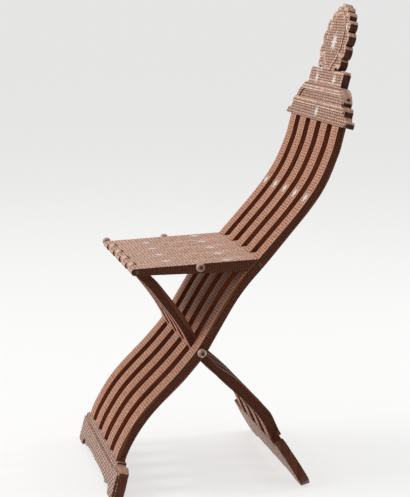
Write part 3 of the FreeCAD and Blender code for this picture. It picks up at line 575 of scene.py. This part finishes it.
def is_number(tree, value, wanted):
    """One where a whole number is the wanted one, and nought elsewhere."""
    return sums(tree, "COMPARE", value, float(wanted), NEARLY)


def new_tree(name, inputs):
    """A Geometry Nodes tree that takes a mesh and named inputs, and gives a mesh."""
    tree = bpy.data.node_groups.new(name, "GeometryNodeTree")
    for label, kind in [("Geometry", MESH)] + inputs:
        tree.interface.new_socket(label, in_out="INPUT", socket_type=kind)
    tree.interface.new_socket("Geometry", in_out="OUTPUT", socket_type=MESH)
    start = add_node(tree, "NodeGroupInput").outputs
    end = add_node(tree, "NodeGroupOutput").inputs
    return tree, start, end


def attribute(tree, name, data_type):
    node = add_node(tree, "GeometryNodeInputNamedAttribute", data_type=data_type)
    node.inputs["Name"].default_value = name
    return node.outputs["Attribute"]


def set_on_points(tree, points, piece):
    """A node that sets a copy of a mesh on every point."""
    copies = add_node(tree, "GeometryNodeInstanceOnPoints")
    feed(tree, points, copies.inputs["Points"])
    feed(tree, piece, copies.inputs["Instance"])
    return copies


def made_real(tree, copies):
    node = add_node(tree, "GeometryNodeRealizeInstances")
    feed(tree, copies, node.inputs[0])
    return node.outputs[0]


def painted(tree, mesh, material, where=None):
    node = add_node(tree, "GeometryNodeSetMaterial")
    feed(tree, mesh, node.inputs["Geometry"])
    feed(tree, material, node.inputs["Material"])
    if where is not None:
        feed(tree, where, node.inputs["Selection"])
    return node.outputs[0]


def both_of(tree, one, other):
    """Two meshes as one."""
    node = add_node(tree, "GeometryNodeJoinGeometry")
    feed(tree, one, node.inputs[0])
    feed(tree, other, node.inputs[0])
    return node.outputs[0]


# %% One tree for every row
FACE_GAP, FACE_FRONT, FACE_REAR, FACE_TOP = 0, 1, 2, 3


def row_tree(name):
    """Repeat a slat in its lanes, number the planks, and set the finish of every kind of face."""
    inputs = [("Count", WHOLE), ("First lane", FLOAT), ("Pitch", FLOAT), ("Outer side", FLOAT)]
    for label in ("Gap finish", "Face finish", "Rear finish", "Top finish", "Side finish"):
        inputs.append((label, MATERIAL))
    tree, start, end = new_tree(name, inputs)
    lanes = add_node(tree, "GeometryNodeMeshLine", mode="OFFSET")
    feed(tree, start["Count"], lanes.inputs["Count"])
    feed(tree, joined(tree, x=start["First lane"]), lanes.inputs["Start Location"])
    feed(tree, joined(tree, x=start["Pitch"]), lanes.inputs["Offset"])
    planks = set_on_points(tree, lanes.outputs[0], start["Geometry"])
    number = add_node(
        tree, "GeometryNodeStoreNamedAttribute", data_type="FLOAT", domain="INSTANCE"
    )
    number.inputs["Name"].default_value = "plank"
    feed(tree, planks.outputs[0], number.inputs["Geometry"])
    feed(tree, add_node(tree, "GeometryNodeInputIndex").outputs[0], number.inputs["Value"])
    kind = attribute(tree, "kind", "INT")
    place = split(tree, add_node(tree, "GeometryNodeInputPosition").outputs[0])
    beyond = sums(tree, "GREATER_THAN", sums(tree, "ABSOLUTE", place[0]), start["Outer side"])
    outer = sums(tree, "MULTIPLY", is_number(tree, kind, FACE_GAP), beyond)
    row = painted(tree, made_real(tree, number.outputs[0]), start["Gap finish"])
    row = painted(tree, row, start["Face finish"], is_number(tree, kind, FACE_FRONT))
    row = painted(tree, row, start["Rear finish"], is_number(tree, kind, FACE_REAR))
    row = painted(tree, row, start["Top finish"], is_number(tree, kind, FACE_TOP))
    row = painted(tree, row, start["Side finish"], outer)
    feed(tree, row, end["Geometry"])
    return tree


slat_row = row_tree("slat_row")
print("row tree:", len(slat_row.nodes), "nodes")


# %% From a tree to a plain mesh
def finish_tree(obj, tree, values):
    """Run a tree on an object and keep the result as a plain mesh."""
    modifier = obj.modifiers.new(tree.name, "NODES")
    modifier.node_group = tree
    for item in tree.interface.items_tree:
        if item.in_out == "INPUT" and item.name in values:
            modifier[item.identifier] = values[item.name]
    bpy.context.view_layer.update()
    evaluated = obj.evaluated_get(bpy.context.evaluated_depsgraph_get())
    mesh = bpy.data.meshes.new_from_object(evaluated)
    obj.modifiers.remove(modifier)
    obj.data = mesh


def smooth(mesh):
    mesh.polygons.foreach_set("use_smooth", [True] * len(mesh.polygons))
    mesh.set_sharp_from_angle(angle=SHARP_ANGLE)


def new_piece(name, mesh):
    piece = bpy.data.objects.new(name, mesh)
    bpy.context.scene.collection.objects.link(piece)
    return piece


# %% The kinds of a slat's faces
SIDE_TURN = 0.7
UNDERSIDE_TURN = -0.3
LEVEL_SHARE = 0.2


def face_kind(face, top):
    """A gap side, a front, a rear, or a top where the face lies above the given height."""
    normal = face.normal
    if abs(normal.x) > SIDE_TURN:
        return FACE_GAP
    if normal.z > UNDERSIDE_TURN and face.calc_center_median().z > top:
        return FACE_TOP
    upright = abs(normal.y) > abs(normal.z) * LEVEL_SHARE
    facing_front = normal.y < 0 if upright else normal.z > 0
    return FACE_FRONT if facing_front else FACE_REAR


def store(shape, name, half_width, line, way, top):
    """Write the places, half widths and kinds of a slat's faces to a mesh."""
    uv = shape.loops.layers.uv.new("slat_place")
    half = shape.loops.layers.float.new("half")
    kind = shape.faces.layers.int.new("kind")
    for face in shape.faces:
        face[kind] = face_kind(face, top)
        in_gap = face[kind] == FACE_GAP
        for loop in face.loops:
            place = loop.vert.co
            along, aside, half_depth = along_and_aside(line, way, place.y, place.z)
            loop[uv].uv = (aside if in_gap else place.x, along)
            loop[half] = half_depth if in_gap else half_width
    mesh = mesh_of(shape, name)
    smooth(mesh)
    return mesh


# %% Dress the four rows
# A leg's top lies in the seat's front edge, so above this height it gets the seat's inlay.
LEG_TOP = 0.443
LANE_PITCH = 0.08375
BACK_WIDTH = 0.045
LEG_WIDTH = 0.03795
SHORTEST_EDGE = 0.004
SIDE_MARGIN = 0.0015
SEAT_END = 0.012
NO_STRINGS = 0.5
# Each row has its slats' names and number, the slat to copy, its width, body and rear finish.
ROWS = (
    ("back_slats", "back_slat_%d", 5, 3, BACK_WIDTH, "back_frame", "rear_wood"),
    ("leg_slats", "leg_slat_%d", 4, 2, LEG_WIDTH, "leg_frame", "side_inlay"),
    ("seat_front_slats", "seat_front_slat_%d", 5, 3, BACK_WIDTH, "seat_front", "gap_wood"),
    ("seat_rear_slats", "seat_rear_slat_%d", 4, 2, LEG_WIDTH, "seat_rear", "gap_wood"),
)


def seat_line(shape):
    """A straight line from the slat's front end to its rear end, whose sides have no strings."""
    places = np.array([vertex.co.yz for vertex in shape.verts])
    ends = []
    for side in (1, -1):
        deep = places[:, 0] * side
        near = places[deep < deep.min() + SEAT_END]
        ends.append((places[deep.argmin(), 0], near[:, 1].mean(), NO_STRINGS))
    return np.array(ends)


def dress_row(name, pattern, count, source, width, body, rear):
    nodes = [pattern % number for number in range(1, count + 1)]
    low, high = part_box(pattern % source)
    centre_x = (low.x + high.x) / 2
    shape = welded_copy(pattern % source)
    reach = width / 2
    in_seat = "seat" in name
    line = seat_line(shape) if in_seat else middle_line(shape, centre_x + reach)

    def on_outer_edge(edge):
        apart = [abs(abs(vertex.co.x - centre_x) - reach) for vertex in edge.verts]
        return max(apart) < SAME_PLACE and edge.calc_length() > SHORTEST_EDGE

    soften(shape, on_outer_edge, EDGE_ROUND)
    for vertex in shape.verts:
        vertex.co.x -= centre_x
    top = LEG_TOP if name == "leg_slats" else math.inf
    mesh = store(shape, name, reach, line, LYING if in_seat else STANDING, top)
    row = new_piece(name, mesh)
    last_lane = (count - 1) / 2 * LANE_PITCH
    finish_tree(
        row,
        slat_row,
        {
            "Count": count,
            "First lane": -last_lane,
            "Pitch": LANE_PITCH,
            "Outer side": last_lane + reach - SIDE_MARGIN,
            "Gap finish": finishes["gap_wood"],
            "Face finish": finishes["seat_inlay" if in_seat else "face_inlay"],
            "Rear finish": finishes[rear],
            "Top finish": finishes["seat_inlay"],
            "Side finish": finishes["side_inlay"],
        },
    )
    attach(row, body)
    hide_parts(*nodes)
    print(name, len(row.data.polygons), "faces")


for row in ROWS:
    dress_row(*row)

# %% [markdown]
# ## Beads and reeds
#
# The crest carries rows of small beads and thin reeds. The beads follow the finial's outline and
# the rim round its oval field, and the reeds run across the rail. The lines are found on the
# solids. They go into the board's mesh as loose edges with a number, 1 for beads and 2 for reeds.
# One Geometry Nodes tree sets a bead at every step of the first kind, draws a rod along the
# second, and takes the loose edges away.

# %% Ornament tree
BEAD_LINE, REED_LINE = 1, 2
ANY_LINE = 0.5
BEAD_SEGMENTS = 8
BEAD_RINGS = 5
REED_SIDES = 8


def ornament_tree(name):
    """Set beads and reeds along a board's numbered lines, and take the lines away."""
    sizes = ("Pitch", "Bead radius", "Bead rise", "Reed radius", "Lean")
    inputs = [(label, FLOAT) for label in sizes] + [("Finish", MATERIAL)]
    tree, start, end = new_tree(name, inputs)
    number = attribute(tree, "rim", "INT")
    curves = []
    for kind in (BEAD_LINE, REED_LINE):
        curve = add_node(tree, "GeometryNodeMeshToCurve")
        feed(tree, start["Geometry"], curve.inputs["Mesh"])
        feed(tree, is_number(tree, number, kind), curve.inputs["Selection"])
        curves.append(curve.outputs[0])
    steps = add_node(tree, "GeometryNodeResampleCurve", mode="LENGTH")
    feed(tree, curves[0], steps.inputs["Curve"])
    feed(tree, start["Pitch"], steps.inputs["Length"])
    ball = add_node(tree, "GeometryNodeMeshUVSphere")
    ball.inputs["Segments"].default_value = BEAD_SEGMENTS
    ball.inputs["Rings"].default_value = BEAD_RINGS
    ball.inputs["Radius"].default_value = 1.0
    beads = set_on_points(tree, steps.outputs[0], ball.outputs["Mesh"])
    size = joined(tree, start["Bead radius"], start["Bead rise"], start["Bead radius"])
    feed(tree, joined(tree, x=start["Lean"]), beads.inputs["Rotation"])
    feed(tree, size, beads.inputs["Scale"])
    ring = add_node(tree, "GeometryNodeCurvePrimitiveCircle", mode="RADIUS")
    ring.inputs["Resolution"].default_value = REED_SIDES
    feed(tree, start["Reed radius"], ring.inputs["Radius"])
    reeds = add_node(tree, "GeometryNodeCurveToMesh")
    feed(tree, curves[1], reeds.inputs["Curve"])
    feed(tree, ring.outputs["Curve"], reeds.inputs["Profile Curve"])
    reeds.inputs["Fill Caps"].default_value = True
    added = both_of(tree, reeds.outputs[0], made_real(tree, beads.outputs[0]))
    board = add_node(tree, "GeometryNodeDeleteGeometry", domain="EDGE")
    feed(tree, start["Geometry"], board.inputs["Geometry"])
    feed(tree, sums(tree, "GREATER_THAN", number, ANY_LINE), board.inputs["Selection"])
    whole = both_of(tree, painted(tree, added, start["Finish"]), board.outputs[0])
    feed(tree, whole, end["Geometry"])
    return tree


ornament = ornament_tree("board_ornament")
print("ornament tree:", len(ornament.nodes), "nodes")

# %% Lines for the beads
FRONT_TURN = 0.995
FOLDED_BACK = 0.3
BEAD_INSET = 0.0042
SHORTEST_OUTLINE = 0.3


def bead_lines(shape, outward):
    """Closed lines a little inside the edges of the front faces, the short ones left out.

    The faces keep the mesh's own order, so every run starts the lines at the same places.
    """
    fronts = [face for face in shape.faces if face.normal.dot(outward) > FRONT_TURN]
    follow = {}
    for face in fronts:
        for loop in face.loops:
            beside = [other for other in loop.edge.link_faces if other is not face]
            if beside and beside[0] not in fronts:
                ahead = (beside[0].calc_center_median() - loop.vert.co).dot(outward)
                if ahead < 0:
                    follow[loop.vert] = (loop.link_loop_next.vert, beside[0].normal)
    lines = []
    while follow:
        vert = next(iter(follow))
        chain = []
        while vert in follow:
            onward, side = follow.pop(vert)
            chain.append((vert.co.copy(), side.copy()))
            vert = onward
        length = sum((b[0] - a[0]).length for a, b in zip(chain, chain[1:]))
        if length < SHORTEST_OUTLINE or vert.co != chain[0][0]:
            continue
        line = []
        for (_, side_before), (place, side_here) in zip(chain[-1:] + chain[:-1], chain):
            away = side_before + side_here
            away -= outward * away.dot(outward)
            if away.length > FOLDED_BACK:
                line.append(place - away * (BEAD_INSET * 2 / away.length_squared))
        lines.append(line)
    return lines


# %% Lines for the reeds
CREST_LEAN = math.radians(14.6)
CREST_FOOT = Vector((0, 0.20352, 0.7235))
CREST_FRONT = Vector((0, -math.cos(CREST_LEAN), math.sin(CREST_LEAN)))
CREST_RISE = Vector((0, CREST_FRONT.z, -CREST_FRONT.y))
AHEAD_OF_CREST = 0.1
BESIDE_CREST = 0.4
REED_DEPTH = 0.0015
REED_INSET = 0.004


def crest_front(tree, level):
    """The place in the middle of the crest's front, at a height along its lean."""
    ahead = CREST_FOOT + CREST_RISE * level + CREST_FRONT * AHEAD_OF_CREST
    return tree.ray_cast(ahead, -CREST_FRONT)[0]


def crest_end(tree, inner, side):
    """The place on one end of the crest that is level with a place inside it."""
    beside = Vector((BESIDE_CREST * side, inner.y, inner.z))
    return tree.ray_cast(beside, Vector((-side, 0, 0)))[0]


def reed_lines(shape, levels):
    """Lines across the crest's front at given heights along its lean."""
    tree = BVHTree.FromBMesh(shape)
    lines = []
    for level in levels:
        face = crest_front(tree, level)
        end = crest_end(tree, face - CREST_FRONT * REED_DEPTH, 1)
        reach = end.x - REED_INSET
        lines.append([Vector((-reach, face.y, face.z)), Vector((reach, face.y, face.z))])
    return lines


# %% [markdown]
# ## Boards
#
# The feet and the crest are boards sawn to an outline. Their faces lie across the chair, so the
# place on them is simply X and the height. The sawn edges are plain wood. Those that face up,
# apart from the rear foot's, get a paler wood: a painted highlight for the light from above and
# the sheen of the polish. The rail ends in a small turned boss on either side, whose outer ring
# takes the same painted highlight.

# %% Bosses
ON_FRONT, ON_EDGE, ON_REAR, ON_UPPER = 0, 1, 2, 3
BOSS_LEVEL = 0.055
BOSS_DEPTH = 0.009
# Each ring of a boss has its radius, its height and its finish.
# The outer ring takes the upper edges' paler wood, a painted highlight.
BOSSES = ((0.0080, 0.0014, ON_UPPER), (0.0040, 0.0026, ON_EDGE))


def add_bosses(shape, uv):
    """A turned boss with a dark middle on either end of the crest rail."""
    tree = BVHTree.FromBMesh(shape)
    inner = crest_front(tree, BOSS_LEVEL) - CREST_FRONT * BOSS_DEPTH
    for side in (-1, 1):
        end = crest_end(tree, inner, side)
        for radius, height, finish in BOSSES:
            where = Matrix.Translation(end) @ Matrix.Diagonal((height, radius, radius, 1))
            made = bmesh.ops.create_uvsphere(
                shape, u_segments=12, v_segments=8, radius=1, matrix=where
            )
            for face in {face for vert in made["verts"] for face in vert.link_faces}:
                face.material_index = finish
                for loop in face.loops:
                    loop[uv].uv = (loop.vert.co.y, loop.vert.co.z)


# %% Dress the boards
PLAIN_FRONT = Vector((0, -1, 0))
FACING_TURN = 0.6
UPPER_TURN = 0.45
BOARD_ROUND = 0.0005
SHORTEST_BOARD_EDGE = 0.0015
# Far more than any board's half width, so that no string and no worn line falls on a board.
BOARD_HALF = 0.5
BOARD_PLANK = 3.0
REED_LEVELS = (0.0285, 0.0365, 0.0610, 0.0665)
# The last finish, for the upper edges, is the painted highlight on the crest and the front foot.
CREST_FINISHES = ("crest_inlay", "dark_wood", "rear_wood", "lit_top_wood")
# Each board has its body, the way it faces, whether it is beaded, the heights of its reeds, and
# the finishes of its front, edges, rear and upper edges.
BOARDS = (
    (
        "front_foot",
        "back_frame",
        PLAIN_FRONT,
        False,
        (),
        ("foot_inlay", "end_wood", "rear_wood", "lit_top_wood"),
    ),
    (
        "rear_foot",
        "leg_frame",
        PLAIN_FRONT,
        False,
        (),
        ("foot_inlay", "end_wood", "rear_wood", "rear_wood"),
    ),
    ("crest_rail", "back_frame", CREST_FRONT, False, REED_LEVELS, CREST_FINISHES),
    ("crest_finial", "back_frame", CREST_FRONT, True, (), CREST_FINISHES),
)


def board_side(normal):
    """Which finish a face of a board gets, from the way it faces."""
    # Faces that look up get the upper finish, which paints the light from above on them.
    if abs(normal.y) < FACING_TURN:
        return ON_UPPER if normal.z > UPPER_TURN else ON_EDGE
    return ON_FRONT if normal.y < 0 else ON_REAR


def dress_board(node, body, outward, beaded, reeds, labels):
    shape = welded_copy(node)
    lines = []
    if beaded:
        lines += [(BEAD_LINE, line) for line in bead_lines(shape, outward)]
    if reeds:
        lines += [(REED_LINE, line) for line in reed_lines(shape, reeds)]
    soften(shape, lambda edge: edge.calc_length() > SHORTEST_BOARD_EDGE, BOARD_ROUND)
    uv = shape.loops.layers.uv.new("slat_place")
    half = shape.loops.layers.float.new("half")
    plank = shape.loops.layers.float.new("plank")
    rim = shape.edges.layers.int.new("rim")
    for face in shape.faces:
        side = board_side(face.normal)
        face.material_index = side
        for loop in face.loops:
            place = loop.vert.co
            on_face = side in (ON_FRONT, ON_REAR)
            loop[uv].uv = (place.x, place.z) if on_face else (place.y, place.x + place.z)
            loop[half] = BOARD_HALF
            loop[plank] = BOARD_PLANK
    if reeds:
        add_bosses(shape, uv)
    for kind, line in lines:
        places = [shape.verts.new(place) for place in line]
        onward = places[1:] + places[:1] if kind == BEAD_LINE else places[1:]
        for first, second in zip(places, onward):
            shape.edges.new((first, second))[rim] = kind
    mesh = mesh_of(shape, node + "_dressed")
    for label in labels:
        mesh.materials.append(finishes[label])
    smooth(mesh)
    board = new_piece(node + "_dressed", mesh)
    finish_tree(
        board,
        ornament,
        {
            "Pitch": 0.0085,
            "Bead radius": 0.0029,
            "Bead rise": 0.0016,
            "Reed radius": 0.0015,
            "Lean": -math.atan2(outward.z, -outward.y),
            "Finish": bone,
        },
    )
    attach(board, body)
    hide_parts(node)
    print(board.name, len(lines), "lines", len(board.data.polygons), "faces")


for board in BOARDS:
    dress_board(*board)

# %% [markdown]
# ## Turned pieces and pearl stars
#
# A turned piece gets the distance from its axis as its place across, so rings follow the
# lathe. Each pearl star has its middle raised a little, so its rays catch the light one by one.
# Thin longer rays are let in round it, and one Geometry Nodes tree cuts them all.

# %% Turned pieces
AXIS_REACH = 0.0002
DISC_TURN = 0.9
TURNED = (
    ("crossing_rod", "back_frame"),
    ("crossing_knobs", "back_frame"),
    ("rear_rod", "back_frame"),
    ("front_pin", "leg_frame"),
    ("mid_rod", "seat_front"),
    ("mid_knobs", "seat_front"),
)


def dress_turned(node, body):
    """Rings round the axis, with the flat ends cut into wedges so that the rings show there."""
    shape = welded_copy(node)
    low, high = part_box(node)
    axis = Vector((0, (low.y + high.y) / 2, (low.z + high.z) / 2))
    most = (high.z - low.z) / 2
    discs = []
    for face in shape.faces:
        middle = face.calc_center_median()
        if abs(face.normal.x) > DISC_TURN and (middle.yz - axis.yz).length < AXIS_REACH:
            discs.append(face)
    bmesh.ops.poke(shape, faces=discs)
    uv = shape.loops.layers.uv.new("slat_place")
    half = shape.loops.layers.float.new("half")
    for face in shape.faces:
        for loop in face.loops:
            loop[uv].uv = ((loop.vert.co.yz - axis.yz).length, loop.vert.co.x)
            loop[half] = most
    mesh = mesh_of(shape, node + "_dressed")
    mesh.materials.append(turned_wood)
    smooth(mesh)
    piece = new_piece(node + "_dressed", mesh)
    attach(piece, body)
    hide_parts(node)
    print(piece.name, len(discs), "discs,", len(mesh.polygons), "faces")


for node, body in TURNED:
    dress_turned(node, body)


# %% Star tree
def star_tree(name):
    """Set a flat star on every point, turned to the point's outward direction."""
    inputs = [("Waist", FLOAT), ("Thickness", FLOAT), ("Rays", WHOLE), ("Finish", MATERIAL)]
    tree, start, end = new_tree(name, inputs)
    star = add_node(tree, "GeometryNodeCurveStar")
    feed(tree, start["Rays"], star.inputs["Points"])
    feed(tree, start["Waist"], star.inputs["Inner Radius"])
    star.inputs["Outer Radius"].default_value = 1.0
    fill = add_node(tree, "GeometryNodeFillCurve", mode="NGONS")
    feed(tree, star.outputs["Curve"], fill.inputs["Curve"])
    solid = add_node(tree, "GeometryNodeExtrudeMesh", mode="FACES")
    feed(tree, fill.outputs[0], solid.inputs["Mesh"])
    feed(tree, start["Thickness"], solid.inputs["Offset Scale"])
    stars = set_on_points(tree, start["Geometry"], solid.outputs["Mesh"])
    turn = add_node(tree, "FunctionNodeAlignRotationToVector", axis="Z")
    feed(tree, attribute(tree, "outward", "FLOAT_VECTOR"), turn.inputs["Vector"])
    feed(tree, turn.outputs[0], stars.inputs["Rotation"])
    radius = attribute(tree, "radius", "FLOAT")
    feed(tree, joined(tree, radius, radius, 1.0), stars.inputs["Scale"])
    shown = painted(tree, made_real(tree, stars.outputs[0]), start["Finish"])
    feed(tree, shown, end["Geometry"])
    return tree


star_rays = star_tree("star_rays")
print("star tree:", len(star_rays.nodes), "nodes")

# %% Pearl stars
STAR_RISE = 0.0006
TOP_TURN = 0.6
RAY_COUNT = 8
RAY_WAIST = 0.34
RAY_THICKNESS = 0.0003
RAY_SUNK = 0.3
# How far the thin rays reach, as a share of the solid star's radius: on the slats, on the crest,
# and in the middle of the crest's oval.
RAY_REACH = 1.45
CREST_RAY_REACH = 1.75
FIELD_RAY_REACH = 2.6
FIELD_LEVEL = 0.13
FIELD_HALF = 0.01
PLAIN_CORNERS = 6


def ray_reach(middle):
    if middle.z > CREST_FOOT.z + FIELD_LEVEL and abs(middle.x) < FIELD_HALF:
        return FIELD_RAY_REACH
    return CREST_RAY_REACH if middle.z > CREST_FOOT.z else RAY_REACH


def dress_stars(node, body, outward):
    """The solid star with its middle raised, and thin rays that are let in round it."""
    shape = welded_copy(node)
    facing_out = [face for face in shape.faces if face.normal.dot(outward) > TOP_TURN]
    tops = [face for face in facing_out if len(face.verts) > PLAIN_CORNERS]
    points = bmesh.new()
    radius = points.verts.layers.float.new("radius")
    facing = points.verts.layers.float_vector.new("outward")
    for face in tops:
        middle = face.calc_center_median()
        point = points.verts.new(middle - face.normal * RAY_THICKNESS * RAY_SUNK)
        longest = max((vert.co - middle).length for vert in face.verts)
        point[radius] = longest * ray_reach(middle)
        point[facing] = face.normal
    rays = new_piece(node + "_rays", mesh_of(points, node + "_rays"))
    values = {"Rays": RAY_COUNT, "Waist": RAY_WAIST, "Thickness": RAY_THICKNESS, "Finish": pearl}
    finish_tree(rays, star_rays, values)
    bmesh.ops.poke(shape, faces=tops, offset=STAR_RISE)
    shape.from_mesh(rays.data)
    bpy.data.objects.remove(rays)
    mesh = mesh_of(shape, node + "_dressed")
    mesh.materials.append(pearl)
    piece = new_piece(node + "_dressed", mesh)
    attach(piece, body)
    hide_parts(node)
    print(piece.name, len(tops), "stars,", len(mesh.polygons), "faces")


dress_stars("back_inlays", "back_frame", Vector((0, -1, 0)))
dress_stars("seat_front_inlays", "seat_front", Vector((0, 0, 1)))
dress_stars("seat_rear_inlays", "seat_rear", Vector((0, 0, 1)))

# %% [markdown]
# ## The studio
#
# The chair stands on a wide pale floor that runs past the edges of the picture, so there is no
# horizon. The floor glows a little, as paper over a light table does, which keeps the shadow
# pale. One wide soft light stands in front and above, one hangs overhead, and a small one behind
# throws a soft shadow forward over the floor.

# %% Floor
FLOOR_REACH = 200.0
FLOOR_DROP = 0.0005
FLOOR_GLOW = 0.65


def make_floor():
    shape = bmesh.new()
    bmesh.ops.create_circle(shape, cap_ends=True, radius=FLOOR_REACH, segments=64)
    mesh = mesh_of(shape, "pale_floor")
    material, _, shader = new_material("pale_paper")
    shader.inputs["Base Color"].default_value = (0.30, 0.298, 0.296, 1)
    shader.inputs["Roughness"].default_value = 0.95
    shader.inputs["Specular IOR Level"].default_value = 0.0
    shader.inputs["Emission Color"].default_value = (1.0, 0.994, 0.99, 1)
    shader.inputs["Emission Strength"].default_value = FLOOR_GLOW
    mesh.materials.append(material)
    return new_piece("pale_floor", mesh)


floor = make_floor()
floor.location.z = -FLOOR_DROP

# %% Lights
# Each light has its place, the place that it faces, its two sizes and its power.
LIGHTS = (
    ("front_light", (-0.3, -3.2, 2.7), (0, 0, 0.45), (1.8, 1.4), 72),
    ("top_light", (-1.2, 0.2, 4.2), (-0.5, 0, 0), (4.0, 4.0), 66),
    ("rear_light", (-0.6, 2.8, 1.4), (0, -0.2, 0.0), (0.35, 0.35), 20),
)


def soft_light(name, place, target, size, power):
    data = bpy.data.lights.new(name, "AREA")
    data.shape = "RECTANGLE"
    data.size, data.size_y = size
    data.energy = power
    light = new_piece(name, data)
    light.location = place
    light.rotation_mode = "QUATERNION"
    light.rotation_quaternion = (Vector(target) - Vector(place)).to_track_quat("-Z", "Y")


for light in LIGHTS:
    soft_light(*light)

# %% World
# The room lights the chair at the first strength, and the camera sees it at the second, which is
# as pale as the distant floor.
ROOM_LIGHT = 0.47
ROOM_SEEN = 0.79

world = bpy.data.worlds.new("studio")
world.use_nodes = True
background = world.node_tree.nodes["Background"]
background.inputs["Color"].default_value = WHITE
seen = add_node(world.node_tree, "ShaderNodeLightPath").outputs["Is Camera Ray"]
strength = range_of(world.node_tree, seen, ROOM_LIGHT, ROOM_SEEN)
feed(world.node_tree, strength, background.inputs["Strength"])
bpy.context.scene.world = world
bpy.context.scene.view_settings.view_transform = "Standard"
